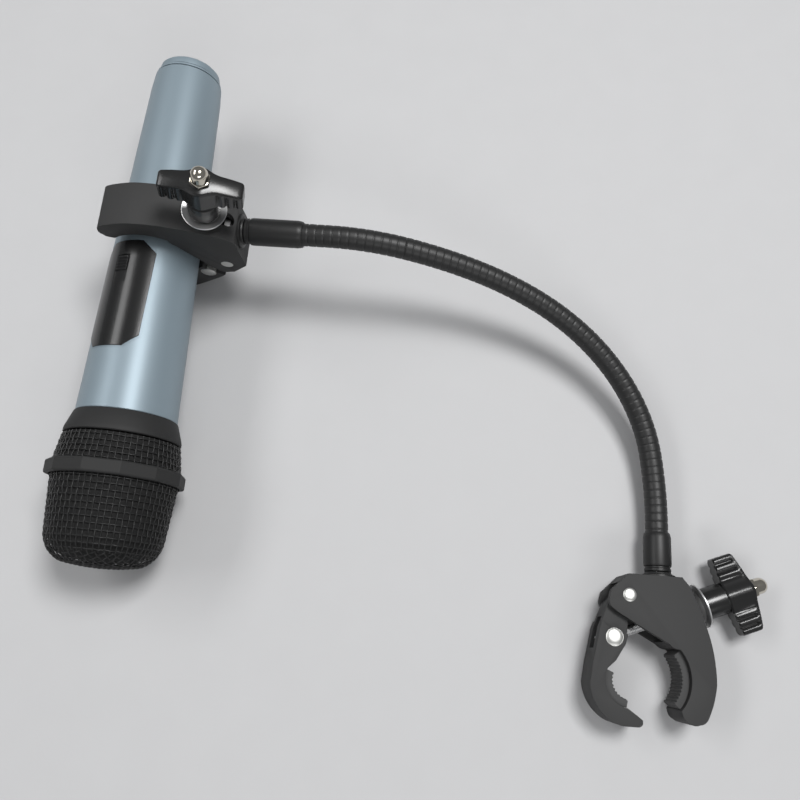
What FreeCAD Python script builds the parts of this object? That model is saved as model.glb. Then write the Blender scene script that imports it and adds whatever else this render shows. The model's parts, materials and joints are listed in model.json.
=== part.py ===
"""Handheld microphone held by a double-clamp gooseneck holder, in millimetres.

Everything lies flat as on a table top at Z = 0. The origin is on the jaw axis of the
stand clamp; the gooseneck leaves that clamp towards +Y and sweeps round to the
microphone clamp on the -X side. The microphone's head points along -Y.
"""
import FreeCAD, Part
import Sketcher
import math
import os

Vector = FreeCAD.Vector
Placement = FreeCAD.Placement
Rotation = FreeCAD.Rotation
X_AXIS = Vector(1, 0, 0)
Y_AXIS = Vector(0, 1, 0)
Z_AXIS = Vector(0, 0, 1)

doc = FreeCAD.newDocument("ClampMicrophone")
sheet = doc.addObject("Spreadsheet::Sheet", "dims")
parts = []

DIMENSIONS = [
    # clamp castings
    ("plate_width", 18.0), ("channel_width", 12.4), ("arm_width", 11.8), ("jaw_width", 15.4),
    ("arm_reach", 15.0), ("pivot_x", -6.4), ("pivot_y", 30.3), ("pivot_radius", 2.6),
    ("trunnion_x", -12.2), ("trunnion_y", 13.9), ("trunnion_radius", 3.4),
    ("rod_radius", 2.0), ("rod_clearance", 0.45), ("rod_tail", 6.0), ("rod_slot_width", 6.4),
    ("rod_window", 8.6), ("rod_exit_radius", 6.0), ("rod_exit_x", -4.5), ("rod_exit_y", 21.0),
    ("boss_in_window", 5.0), ("rod_end", 4.0),
    ("seat_distance", 35.8), ("running_gap", 0.05), ("spine_slot_width", 5.6),
    ("spine_slot_start", -5.0), ("spine_slot_end", 9.0),
    ("pad_radius", 13.9), ("pad_outer_radius", 16.95), ("pad_width", 13.0),
    ("moving_pad_radius", 6.9), ("moving_seat_radius", 10.0),
    ("moving_seat_x", -5.8), ("moving_seat_y", -2.0),
    ("stud_x", 7.7), ("top_y", 38.6), ("web_thickness", 3.4), ("stud_radius", 3.0),
    ("stud_head_radius", 5.0), ("stud_head", 2.4), ("stud_length", 9.0),
    ("lock_nut_radius", 7.0), ("lock_nut_thickness", 2.0),
    # knob, washer and acorn nut, measured along the rod from its trunnion
    ("washer_radius", 8.9), ("washer_hole", 2.2), ("washer_start", 36.9), ("washer_dish", 2.2),
    ("washer_gauge", 0.7), ("hub_start", 40.0), ("hub_radius", 6.3), ("hub_length", 9.5),
    ("wing_span", 15.8), ("wing_half", 3.3), ("boss_half", 6.0), ("wing_depth", 12.2),
    ("wing_tip_depth", 9.6), ("wing_foot", 1.2), ("rib_groove_radius", 1.5),
    ("rib_groove_side", 0.9), ("nut_hex", 7.0), ("nut_base", 1.6), ("nut_height", 7.4),
    ("nut_dome_radius", 3.3),
    # gooseneck
    ("neck_radius", 4.6), ("socket_radius", 4.9), ("sleeve_radius", 5.6), ("sleeve_gap", 0.2),
    ("sleeve_bore", 9.0), ("sleeve_grip", 6.0), ("stand_sleeve", 16.0), ("mic_sleeve", 24.0),
    ("stand_straight", 18.0), ("mic_straight", 26.0),
    # microphone, measured from the tail
    ("tail_radius", 13.4), ("cap_length", 6.0), ("cap_bore", 12.1), ("groove_depth", 0.5),
    ("tail_bore", 12.5), ("body_tail_radius", 14.7),
    ("body_start_radius", 15.3), ("body_start", 14.0), ("body_end_radius", 20.0),
    ("body_end", 164.0), ("wall", 1.4), ("panel_start", 93.0), ("panel_length", 46.0),
    ("panel_half", 12.2), ("panel_corner", 5.0), ("panel_proud", 0.35), ("panel_gauge", 1.3),
    ("window_gap", 0.08), ("switch_at", 105.5), ("switch_length", 12.0), ("switch_half", 3.1),
    ("slider_length", 6.0), ("slider_half", 2.8), ("slider_inset", 0.8),
    ("collar_end", 173.0), ("collar_radius", 22.9), ("band_start", 184.4), ("band_end", 190.1),
    ("band_radius", 26.9), ("band_bore", 24.9), ("upper_radius", 25.4), ("lower_radius", 24.8),
    ("lower_end_radius", 22.8), ("shoulder", 212.0), ("mic_length", 224.0), ("mesh_gauge", 0.7),
    ("foam_gap", 0.2), ("foam_gauge", 2.2), ("turning_gap", 0.3),
    ("capsule_radius", 12.5), ("capsule_start", 183.0), ("capsule_end", 204.0),
    ("mount_radius", 16.5), ("cell_radius", 9.1), ("cell_start", 16.0), ("cell_length", 65.0),
]

# Clamp outline in the clamp's own plane; a third number is the radius of the arc that
# arrives at the point, positive when it turns left.
FRAME_OUTLINE = [
    (-6.7, 38.6), (-13.6, 31.8), (-14.5, 28.2), (-13.4, 25.1, 4.0), (-11.3, 23.5),
    (1.3, 16.6), (8.9, 12.6), (13.0, 10.9, 5.0), (12.6, -11.4, -17.0), (13.2, -13.4),
    (15.1, -15.3, 3.0), (19.5, -15.9, 4.0), (22.6, -13.9, 4.0), (26.5, -1.1, 40.0),
    (24.7, 15.8, 60.0), (22.2, 24.3), (17.9, 34.6), (14.6, 38.6),
]
CHANNEL_OUTLINE = [
    (-24.0, 35.2), (-24.0, 9.0), (4.0, 9.0), (8.2, 14.0), (20.2, 19.0), (19.0, 23.4),
    (15.0, 32.6), (13.0, 35.2),
]
JAW_OUTLINE = [
    (-14.1, 26.9), (-17.9, 17.3), (-20.7, 3.7), (-21.8, -3.6), (-13.9, -16.8, 16.0),
    (-8.6, -18.4, 12.0), (-3.4, -18.4), (-1.7, -17.0, 2.0), (-1.7, -15.8), (-4.2, -14.0),
    (-7.4, -11.9), (-14.9, 2.2, -10.0), (-11.7, 5.2), (-7.8, 11.6), (-7.0, 14.6),
    (-6.4, 20.5), (-2.4, 28.0), (-1.8, 30.3), (-6.4, 34.9, 4.6), (-11.0, 30.3, 4.6),
]

FIXED_PAD_ANGLES = (-40.0, 38.0)     # degrees round the pad's own centre
MOVING_PAD_ANGLES = (158.0, 260.0)
RIB_GROOVES = (-13.2, -9.8, 9.8, 13.2)   # places of the grooves along the knob's wings
ROD_REST_ANGLE = 21.85       # direction of the screw rod while the jaw is at zero
SPINE_ANGLE = 112.7          # direction of the spine's flat beside the washer
STAND_HEIGHT = 9.0           # middle plane of the stand clamp above the table
MIC_AT = (-211.5, 164.0, 31.75)   # microphone axis in the middle of its clamp
MIC_STATION = 84.0           # distance of that point from the microphone's tail
MIC_IN_JAW = (-5.5, -0.4)     # the same point in the clamp's own plane
MIC_PITCH = 2.55              # the head lies a little lower than the tail
MIC_YAW = -1.0               # the head is swung this far, seen from above
MIC_CLAMP_LEAN = 3.0         # its sleeve points this much above level
MIC_JAW_ANGLE = -27.0        # the jaw is open this far round the microphone
PANEL_ROLL = 23.0            # switch panel turned this far from straight up

PRISM_START = 6.0            # prisms through the panel start this far off the axis
# Width, thickness, length, height off the axis and station of what is below the panel.
BOARD_BOXES = {
    "circuit_board": (22.0, 1.2, 62.0, 2.6, 86.0),
    "transmitter_chip": (9.0, 1.6, 12.0, 3.8, 120.0),
}

# Joints of the gooseneck's curved part, from the stand clamp to the microphone clamp.
NECK_POINTS = [
    (3.2, 101.5, 12.2), (-11.5, 125.0, 18.2), (-33.5, 142.6, 25.8),
    (-60.5, 153.8, 34.0), (-90.0, 159.6, 42.0),
]


def fill_sheet():
    """Write every driving dimension and outline coordinate to the sheet."""
    rows = list(DIMENSIONS)
    tables = (("frame", FRAME_OUTLINE), ("channel", CHANNEL_OUTLINE), ("jaw", JAW_OUTLINE))
    for name, outline in tables:
        for index, point in enumerate(outline):
            rows.append(("%s_x_%d" % (name, index), point[0]))
            rows.append(("%s_y_%d" % (name, index), point[1]))
    for row, (alias, number) in enumerate(rows, start=1):
        sheet.set("A%d" % row, alias)
        sheet.set("B%d" % row, str(number))
        sheet.setAlias("B%d" % row, alias)
    doc.recompute()


def value(expression):
    """Number that a sheet expression gives; words that are aliases need the prefix d."""
    return float(sheet.evalExpression(expression.replace("d.", "dims.")))


def bind(target, prop, expression):
    target.setExpression(prop, expression.replace("d.", "dims."))


def outline_vertices(name, outline):
    """Vertices of an outline table as sheet expressions."""
    vertices = []
    for index, point in enumerate(outline):
        vertex = ["d.%s_x_%d" % (name, index), "d.%s_y_%d" % (name, index)]
        if len(point) == 3:
            vertex.append(point[2])
        vertices.append(tuple(vertex))
    return vertices


def new_body(name):
    body = doc.addObject("PartDesign::Body", name)
    body.Label = name
    return body


def origin_plane(body, role):
    return [item for item in body.Origin.OriginFeatures if item.Role == role][0]


def arc_between(start, end, radius):
    """Minor arc from start to end; its centre is on the left when radius is positive."""
    chord = end - start
    left = Vector(-chord.y, chord.x, 0).normalize()
    height = math.sqrt(max(radius ** 2 - (chord.Length / 2) ** 2, 0.0))
    centre = (start + end) * 0.5 + left * math.copysign(height, radius)
    first, last = (start, end) if radius > 0 else (end, start)
    angles = [math.atan2(p.y - centre.y, p.x - centre.x) for p in (first, last)]
    return Part.ArcOfCircle(Part.Circle(centre, Z_AXIS, abs(radius)), angles[0], angles[1])


def sketch_profile(body, role, vertices, offset=0.0):
    """Closed profile whose vertices are bound to the sheet, on a plane of the body's origin."""
    sketch = body.newObject("Sketcher::SketchObject", body.Name + "_profile")
    sketch.AttachmentSupport = [(origin_plane(body, role), "")]
    sketch.MapMode = "FlatFace"
    sketch.AttachmentOffset = Placement(Vector(0, 0, offset), Rotation())
    points = [Vector(value(v[0]), value(v[1]), 0) for v in vertices]
    ends = []
    for index, vertex in enumerate(vertices):
        start, end = points[index - 1], points[index]
        if len(vertex) == 3:
            sketch.addGeometry(arc_between(start, end, vertex[2]), False)
            ends.append((1, 2) if vertex[2] > 0 else (2, 1))
        else:
            sketch.addGeometry(Part.LineSegment(start, end), False)
            ends.append((1, 2))
    for index in range(len(vertices)):
        previous = index - 1 if index else len(vertices) - 1
        sketch.addConstraint(Sketcher.Constraint(
            "Coincident", previous, ends[previous][1], index, ends[index][0]))
    for index, vertex in enumerate(vertices):
        for kind, coordinate, expression in (
                ("DistanceX", points[index].x, vertex[0]),
                ("DistanceY", points[index].y, vertex[1])):
            number = sketch.addConstraint(Sketcher.Constraint(
                kind, -1, 1, index, ends[index][1], coordinate))
            bind(sketch, "Constraints[%d]" % number, expression)
        if len(vertex) == 3:
            sketch.addConstraint(Sketcher.Constraint("Radius", index, abs(vertex[2])))
    return sketch


def sketch_circle(body, role, centre_x, centre_y, radius):
    sketch = body.newObject("Sketcher::SketchObject", body.Name + "_circle")
    sketch.AttachmentSupport = [(origin_plane(body, role), "")]
    sketch.MapMode = "FlatFace"
    centre = Vector(value(centre_x), value(centre_y), 0)
    sketch.addGeometry(Part.Circle(centre, Z_AXIS, value(radius)), False)
    for kind, number, expression in (
            ("DistanceX", centre.x, centre_x), ("DistanceY", centre.y, centre_y)):
        index = sketch.addConstraint(Sketcher.Constraint(kind, -1, 1, 0, 3, number))
        bind(sketch, "Constraints[%d]" % index, expression)
    index = sketch.addConstraint(Sketcher.Constraint("Radius", 0, value(radius)))
    bind(sketch, "Constraints[%d]" % index, radius)
    return sketch


def feature(body, kind, sketch, length):
    """Symmetric pad or pocket of the given overall length."""
    item = body.newObject("PartDesign::" + kind, body.Name + "_" + kind.lower())
    item.Profile = sketch
    item.SideType = "Symmetric"
    bind(item, "Length", length)
    doc.recompute()
    return item


def revolve(body, vertices):
    """Turn a profile given as (radius, height) about the body's own Z axis."""
    sketch = sketch_profile(body, "XZ_Plane", vertices)
    turned = body.newObject("PartDesign::Revolution", body.Name + "_turned")
    turned.Profile = sketch
    turned.ReferenceAxis = (sketch, ["V_Axis"])
    turned.Angle = 360
    doc.recompute()
    return turned


def finish(item, placement):
    """Give a sub-part its place and list it for export."""
    doc.recompute()
    item.Placement = placement
    parts.append(item)
    return item


def turned_part(name, vertices, placement):
    body = new_body(name)
    revolve(body, vertices)
    return finish(body, placement)


def cylinder(name, radius, height, placement=Placement()):
    item = doc.addObject("Part::Cylinder", name)
    bind(item, "Radius", radius)
    bind(item, "Height", height)
    item.Placement = placement
    return item


def cut(name, base, tool):
    item = doc.addObject("Part::Cut", name)
    item.Base = base
    item.Tool = tool
    return item


def ring_sector(name, centre, inner, outer, start, end, width, placement):
    """Curved pad: part of a ring between two angles in the clamp's plane."""
    item = doc.addObject("Part::Feature", name)
    foot = Vector(centre[0], centre[1], -width / 2)
    wedge = Part.makeCylinder(outer, width, foot, Z_AXIS, end - start)
    wedge.rotate(foot, Z_AXIS, start)
    item.Shape = wedge.cut(Part.makeCylinder(inner, width, foot, Z_AXIS))
    return finish(item, placement)


# ---------------------------------------------------------------- clamps

def seat_point():
    """Place on the spine where the rod leaves the frame, in the clamp's plane."""
    angle = math.radians(ROD_REST_ANGLE)
    reach = value("d.seat_distance")
    return Vector(value("d.trunnion_x") + reach * math.cos(angle),
                  value("d.trunnion_y") + reach * math.sin(angle), 0)


def jaw_turn(jaw_angle):
    """Placement of a jaw turned about the pivot pin in the clamp's plane."""
    pivot = Vector(value("d.pivot_x"), value("d.pivot_y"), 0)
    return Placement(Vector(0, 0, 0), Rotation(Z_AXIS, jaw_angle), pivot)


def trunnion_point(jaw_angle):
    """Centre of the trunnion in the clamp's plane while the jaw is at an angle."""
    rest = Vector(value("d.trunnion_x"), value("d.trunnion_y"), 0)
    return jaw_turn(jaw_angle).multVec(rest)


def rod_angle(jaw_angle):
    """Direction from the trunnion to the seat, in degrees in the clamp's plane."""
    run = seat_point() - trunnion_point(jaw_angle)
    return math.degrees(math.atan2(run.y, run.x))


def rod_placement(jaw_angle):
    """Frame whose Z axis runs along the rod and reaches the seat at the seat distance."""
    along = Rotation(Z_AXIS, rod_angle(jaw_angle)).multiply(Rotation(Y_AXIS, 90))
    start = seat_point() - along.multVec(Vector(0, 0, value("d.seat_distance")))
    return Placement(start, along)


def shaped(name, shape):
    """Construction solid that only serves as a tool."""
    item = doc.addObject("Part::Feature", name)
    item.Shape = shape
    return item


def clamp_frame(prefix, placement):
    """Fixed casting: a channel between two plates, with the fixed jaw at its foot."""
    body = new_body(prefix + "_casting")
    outline = outline_vertices("frame", FRAME_OUTLINE)
    feature(body, "Pad", sketch_profile(body, "XY_Plane", outline), "d.plate_width")
    channel = outline_vertices("channel", CHANNEL_OUTLINE)
    feature(body, "Pocket", sketch_profile(body, "XY_Plane", channel), "d.channel_width")
    pivot = sketch_circle(body, "XY_Plane", "d.pivot_x", "d.pivot_y", "d.pivot_radius")
    feature(body, "Pocket", pivot, "d.plate_width * 2")
    half = value("d.spine_slot_width") / 2
    low, high = value("d.spine_slot_start"), value("d.spine_slot_end")
    depth = 4 * value("d.web_thickness")
    box = Part.makeBox(high - low, depth, 2 * half, Vector(low, -depth / 2, -half))
    ends = [Part.makeCylinder(half, depth, Vector(x, -depth / 2, 0), Y_AXIS) for x in (low, high)]
    slot = box.fuse(ends)
    slot.Placement = Placement(seat_point(), Rotation(Z_AXIS, SPINE_ANGLE))
    hole_start = Vector(value("d.stud_x"), value("d.top_y - 2 * d.web_thickness"), 0)
    hole = cylinder(prefix + "_stud_hole", "d.stud_radius", "d.web_thickness * 4",
                    Placement(hole_start, Rotation(X_AXIS, -90)))
    slotted = cut(prefix + "_slotted", body, shaped(prefix + "_slot", slot))
    drilled = cut(prefix + "_frame", slotted, hole)
    drilled.Label = prefix + "_frame"
    return finish(drilled, placement)


def moving_jaw(prefix, placement, jaw_angle):
    """Moving jaw: a narrow arm inside the channel and a wide jaw below it."""
    body = new_body(prefix + "_jaw_blank")
    outline = outline_vertices("jaw", JAW_OUTLINE)
    feature(body, "Pad", sketch_profile(body, "XY_Plane", outline), "d.jaw_width")
    pivot = Vector(value("d.pivot_x"), value("d.pivot_y"), 0)
    trunnion = Vector(value("d.trunnion_x"), value("d.trunnion_y"), 0)
    width, arm, reach = value("d.jaw_width"), value("d.arm_width"), value("d.arm_reach")
    outer = Part.makeCylinder(reach, width, pivot - Z_AXIS * (width / 2), Z_AXIS)
    inner = Part.makeCylinder(reach + 1, arm, pivot - Z_AXIS * (arm / 2), Z_AXIS)
    cheeks = outer.cut(inner)
    pin_hole = Part.makeCylinder(
        value("d.pivot_radius + d.running_gap"), width, pivot - Z_AXIS * (width / 2), Z_AXIS)
    barrel_hole = Part.makeCylinder(
        value("d.trunnion_radius + d.running_gap"), width, trunnion - Z_AXIS * (width / 2), Z_AXIS)
    slot = value("d.rod_slot_width")
    drop = Z_AXIS * (slot / 2)
    leaving = Vector(value("d.rod_exit_x"), value("d.rod_exit_y"), 0)
    window = Part.makeCylinder(value("d.rod_window"), slot, trunnion - drop, Z_AXIS)
    window = window.fuse(Part.makeCylinder(value("d.rod_exit_radius"), slot, leaving - drop, Z_AXIS))
    boss = Part.makeCylinder(value("d.boss_in_window"), slot, pivot - drop, Z_AXIS)
    tools = cheeks.fuse([pin_hole, barrel_hole, window.cut(boss)])
    jaw = cut(prefix + "_jaw", body, shaped(prefix + "_jaw_tools", tools))
    jaw.Label = prefix + "_jaw"
    return finish(jaw, placement.multiply(jaw_turn(jaw_angle)))


def clamp_pads(prefix, placement, jaw_angle):
    """Rubber pads in both jaws, as plain ring sectors."""
    width = value("d.pad_width")
    ring_sector(prefix + "_fixed_pad", (0, 0), value("d.pad_radius"), value("d.pad_outer_radius"),
                *FIXED_PAD_ANGLES, width, placement)
    centre = (value("d.moving_seat_x"), value("d.moving_seat_y"))
    outer = value("d.moving_seat_radius - d.running_gap")
    ring_sector(prefix + "_moving_pad", centre, value("d.moving_pad_radius"), outer,
                *MOVING_PAD_ANGLES, width, placement.multiply(jaw_turn(jaw_angle)))


def cross_pin(name, radius, width, centre, placement):
    """Plain pin lying across the clamp's plates."""
    pin = cylinder(name, radius, width)
    pin.Label = name
    start = Placement(Vector(centre.x, centre.y, -value(width) / 2), Rotation())
    return finish(pin, placement.multiply(start))


def trunnion_barrel(prefix, placement, jaw_angle):
    """Barrel nut in the moving jaw, bored across for the screw rod."""
    barrel = cylinder(prefix + "_barrel_blank", "d.trunnion_radius", "d.jaw_width")
    barrel.Placement = Placement(Vector(0, 0, -value("d.jaw_width") / 2), Rotation())
    bore = cylinder(prefix + "_barrel_bore", "d.rod_radius + d.rod_clearance", "d.jaw_width",
                    Placement(Vector(-value("d.jaw_width") / 2, 0, 0), Rotation(Y_AXIS, 90)))
    drilled = cut(prefix + "_trunnion", barrel, bore)
    drilled.Label = prefix + "_trunnion"
    turn = Rotation(Z_AXIS, rod_angle(jaw_angle))
    return finish(drilled, placement.multiply(Placement(trunnion_point(jaw_angle), turn)))


def knob(prefix, place):
    """Two-winged knob: round hub, ribbed wings and a roof-shaped outer face."""
    wing, hub_end = value("d.wing_half"), value("d.hub_start + d.hub_length")
    span, depth, tip = value("d.wing_span"), value("d.wing_depth"), value("d.wing_tip_depth")
    foot = hub_end + value("d.wing_foot")
    hub = Part.makeCylinder(
        value("d.hub_radius"), value("d.hub_length") + 1, Vector(0, 0, value("d.hub_start")))
    bulge = Part.makeCylinder(value("d.boss_half"), depth, Vector(0, 0, hub_end))
    side = [
        Vector(-span, 0, foot), Vector(-span, 0, hub_end + tip), Vector(0, 0, hub_end + depth),
        Vector(span, 0, hub_end + tip), Vector(span, 0, foot), Vector(0, 0, hub_end)]
    wings = Part.Face(Part.makePolygon(side + side[:1])).extrude(Vector(0, 2 * wing, 0))
    wings.translate(Vector(0, -wing, 0))
    shape = hub.fuse([bulge, wings]).removeSplitter()
    aside = wing + value("d.rib_groove_side")
    for x in RIB_GROOVES:
        for y in (-aside, aside):
            groove = Part.makeCylinder(value("d.rib_groove_radius"), depth, Vector(x, y, hub_end + 0.6))
            shape = shape.cut(groove)
    bore = Part.makeCylinder(value("d.rod_radius"), 60, Vector(0, 0, value("d.hub_start - 5")))
    item = shaped(prefix + "_knob", shape.cut(bore))
    return finish(item, place)


def polygon_corners(radius, count, first_angle, height):
    """Closed ring of corners at one height, the first repeated at the end."""
    angles = [math.radians(first_angle + 360.0 * k / count) for k in range(count + 1)]
    return [Vector(radius * math.cos(a), radius * math.sin(a), height) for a in angles]


def acorn_nut(prefix, place):
    """Domed hexagon nut on the end of the rod."""
    start = value("d.hub_start + d.hub_length + d.wing_depth")
    across = value("d.nut_hex") / math.sqrt(3)
    corners = polygon_corners(across, 6, 0.0, start)
    base = Part.Face(Part.makePolygon(corners)).extrude(Vector(0, 0, value("d.nut_base")))
    dome_radius, height = value("d.nut_dome_radius"), value("d.nut_height")
    neck = Part.makeCylinder(dome_radius, height - dome_radius, Vector(0, 0, start))
    dome = Part.makeSphere(dome_radius, Vector(0, 0, start + height - dome_radius))
    bore = Part.makeCylinder(value("d.rod_radius"), value("d.rod_end + 0.2"), Vector(0, 0, start))
    item = shaped(prefix + "_acorn_nut", base.fuse([neck, dome]).removeSplitter().cut(bore))
    return finish(item, place)


def screw_parts(prefix, placement, jaw_angle):
    """Rod, dished washer, knob and acorn nut, all on the rod's axis."""
    place = placement.multiply(rod_placement(jaw_angle))
    rod = cylinder(prefix + "_screw_rod", "d.rod_radius",
                   "d.hub_start + d.hub_length + d.wing_depth + d.rod_tail + d.rod_end")
    rod.Label = prefix + "_screw_rod"
    finish(rod, place.multiply(Placement(Vector(0, 0, -value("d.rod_tail")), Rotation())))
    place = place.multiply(Placement(Vector(0, 0, 0), Rotation(Z_AXIS, 90)))
    gauge = "d.washer_start + d.washer_gauge"
    washer = [("d.washer_hole", "d.washer_start"), ("d.washer_radius * 0.55", "d.washer_start"),
              ("d.washer_radius", "d.washer_start + d.washer_dish"),
              ("d.washer_radius", gauge + " + d.washer_dish"),
              ("d.washer_radius * 0.5", gauge), ("d.washer_hole", gauge)]
    turned_part(prefix + "_washer", washer, place)
    knob(prefix, place)
    acorn_nut(prefix, place)


def stud_parts(prefix, placement, sleeve_length):
    """Headed stud, lock nut and the sleeve that turns on the stud."""
    axis = Placement(Vector(value("d.stud_x"), value("d.top_y"), 0), Rotation(X_AXIS, -90))
    place = placement.multiply(axis)
    head = "0 - d.web_thickness - d.stud_head"
    turned_part(prefix + "_stud", [
        ("0", head), ("d.stud_head_radius", head), ("d.stud_head_radius", "0 - d.web_thickness"),
        ("d.stud_radius", "0 - d.web_thickness"), ("d.stud_radius", "d.stud_length"),
        ("0", "d.stud_length")], place)
    turned_part(prefix + "_lock_nut", [
        ("d.stud_radius", "0"), ("d.lock_nut_radius", "0"),
        ("d.lock_nut_radius", "d.lock_nut_thickness"),
        ("d.stud_radius", "d.lock_nut_thickness")], place)
    bottom = "d.lock_nut_thickness + d.sleeve_gap"
    top = bottom + " + " + sleeve_length
    turned_part(prefix + "_sleeve", [
        ("d.stud_radius + d.running_gap", bottom), ("d.sleeve_radius", bottom),
        ("d.sleeve_radius", top), ("d.neck_radius", top),
        ("d.neck_radius", top + " - d.sleeve_grip"), ("1", top + " - d.sleeve_grip"),
        ("1", bottom + " + d.sleeve_bore"),
        ("d.stud_radius + d.running_gap", bottom + " + d.sleeve_bore")], place)
    return place


def build_clamp(prefix, placement, jaw_angle, sleeve_length):
    clamp_frame(prefix, placement)
    moving_jaw(prefix, placement, jaw_angle)
    clamp_pads(prefix, placement, jaw_angle)
    pivot = Vector(value("d.pivot_x"), value("d.pivot_y"), 0)
    cross_pin(prefix + "_pivot_pin", "d.pivot_radius", "d.plate_width", pivot, placement)
    trunnion_barrel(prefix, placement, jaw_angle)
    screw_parts(prefix, placement, jaw_angle)
    return stud_parts(prefix, placement, sleeve_length)


def mic_clamp_placement():
    """Clamp plane upright across the microphone, its sleeve pointing to +X."""
    upright = Rotation(Vector(0, 0, 1), Vector(1, 0, 0), Vector(0, 1, 0))
    lean = Rotation(Y_AXIS, -MIC_CLAMP_LEAN)
    pitch = Rotation(X_AXIS, MIC_PITCH)
    turn = Rotation(Z_AXIS, MIC_YAW).multiply(pitch).multiply(lean).multiply(upright)
    centre = Vector(MIC_IN_JAW[0], MIC_IN_JAW[1], 0)
    return Placement(Vector(*MIC_AT) - turn.multVec(centre), turn)


# ---------------------------------------------------------------- gooseneck

def neck_segment(name, start, end, ball_start, ball_end):
    """Straight length of gooseneck; a dished start sits over the ball before it."""
    run = end - start
    radius, socket = value("d.neck_radius"), value("d.socket_radius")
    item = doc.addObject("Part::Feature", name)
    shape = Part.makeCylinder(radius, run.Length)
    if ball_start:
        shape = shape.cut(Part.makeSphere(socket))
    if ball_end:
        shape = shape.fuse(Part.makeSphere(radius, Vector(0, 0, run.Length))).removeSplitter()
    item.Shape = shape
    finish(item, Placement(start, Rotation(Z_AXIS, run)))


def build_gooseneck(stand_place, mic_place):
    """Chain of ball-jointed lengths between the two sleeves."""
    grip = value("d.sleeve_grip")
    base = value("d.lock_nut_thickness + d.sleeve_gap")
    ends = []
    for place, side in ((stand_place, "stand"), (mic_place, "mic")):
        sleeve_end = base + value("d.%s_sleeve" % side)
        ends.append(place.multVec(Vector(0, 0, sleeve_end - grip)))
        ends.append(place.multVec(Vector(0, 0, sleeve_end + value("d.%s_straight" % side))))
    points = ends[:2] + [Vector(*point) for point in NECK_POINTS] + [ends[3], ends[2]]
    length = 0.0
    for index in range(len(points) - 1):
        start, end = points[index], points[index + 1]
        length += start.distanceToPoint(end)
        neck_segment("neck_%d" % (index + 1), start, end, index > 0, index < len(points) - 2)
    print("gooseneck between the sleeves: %.1f mm" % (length - 2 * grip))
    for before, at, after in zip(points, points[1:], points[2:]):
        turn = math.degrees((at - before).getAngle(after - at))
        print("joint %s turn %.1f" % (tuple(round(c, 2) for c in at), turn))


# ---------------------------------------------------------------- microphone

def mic_placement():
    """Microphone axis: local Z runs from the tail to the head, local Y to the panel."""
    axis = Rotation(Z_AXIS, MIC_YAW).multiply(Rotation(X_AXIS, 90 + MIC_PITCH))
    turn = axis.multiply(Rotation(Z_AXIS, PANEL_ROLL))
    return Placement(Vector(*MIC_AT) - turn.multVec(Vector(0, 0, MIC_STATION)), turn)


def body_radius(station):
    """Outer radius of the tapered handle at a distance from the tail."""
    start, end = value("d.body_start"), value("d.body_end")
    low, high = value("d.body_start_radius"), value("d.body_end_radius")
    return low + (high - low) * (station - start) / (end - start)


def panel_prism(grow):
    """Eight-sided prism through the panel side of the handle."""
    half, corner = value("d.panel_half") + grow, value("d.panel_corner")
    low = value("d.panel_start") - grow
    high = value("d.panel_start + d.panel_length") + grow
    outline = [
        (-half, low + corner), (-half + corner, low), (half - corner, low), (half, low + corner),
        (half, high - corner), (half - corner, high), (-half + corner, high), (-half, high - corner)]
    points = [Vector(x, PRISM_START, z) for x, z in outline]
    return Part.Face(Part.makePolygon(points + points[:1])).extrude(Vector(0, 30, 0))


def handle_cone(grow):
    """Solid cone that follows the handle's outside, made larger by grow."""
    start, end = value("d.body_start"), value("d.body_end")
    return Part.makeCone(value("d.body_start_radius") + grow, value("d.body_end_radius") + grow,
                         end - start, Vector(0, 0, start))


def build_handle(place):
    """Tapered metal tube with the switch window, its tail cap and collar."""
    body = new_body("handle_blank")
    wall = " - d.wall"
    revolve(body, [
        ("d.tail_bore", "d.cap_length"), ("d.body_tail_radius", "d.cap_length"),
        ("d.body_start_radius", "d.body_start"), ("d.body_end_radius", "d.body_end"),
        ("d.body_end_radius" + wall, "d.body_end"),
        ("d.body_start_radius" + wall, "d.body_start"), ("d.tail_bore", "d.cap_length + 3")])
    tube = cut("mic_body", body, shaped("window", panel_prism(value("d.window_gap"))))
    tube.Label = "mic_body"
    finish(tube, place)
    flange, groove, bore = "d.body_tail_radius - 0.4", "d.tail_radius - d.groove_depth", "d.cap_bore"
    turned_part("tail_cap", [
        ("0", "0"), ("d.tail_radius - 2.5", "0"), ("d.tail_radius", "2.5", -2.5),
        ("d.tail_radius", "d.cap_length - 2"), (groove, "d.cap_length - 2"),
        (groove, "d.cap_length - 1.2"), (flange, "d.cap_length - 1.2"),
        (flange, "d.cap_length - 0.2"), (bore, "d.cap_length - 0.2"), (bore, "2"), ("0", "2")], place)
    turned_part("collar_ring", [
        ("d.mount_radius", "d.body_end"), ("d.body_end_radius + 0.3", "d.body_end"),
        ("d.collar_radius", "d.collar_end - 2"), ("d.collar_radius", "d.collar_end"),
        ("d.mount_radius", "d.collar_end")], place)


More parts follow.
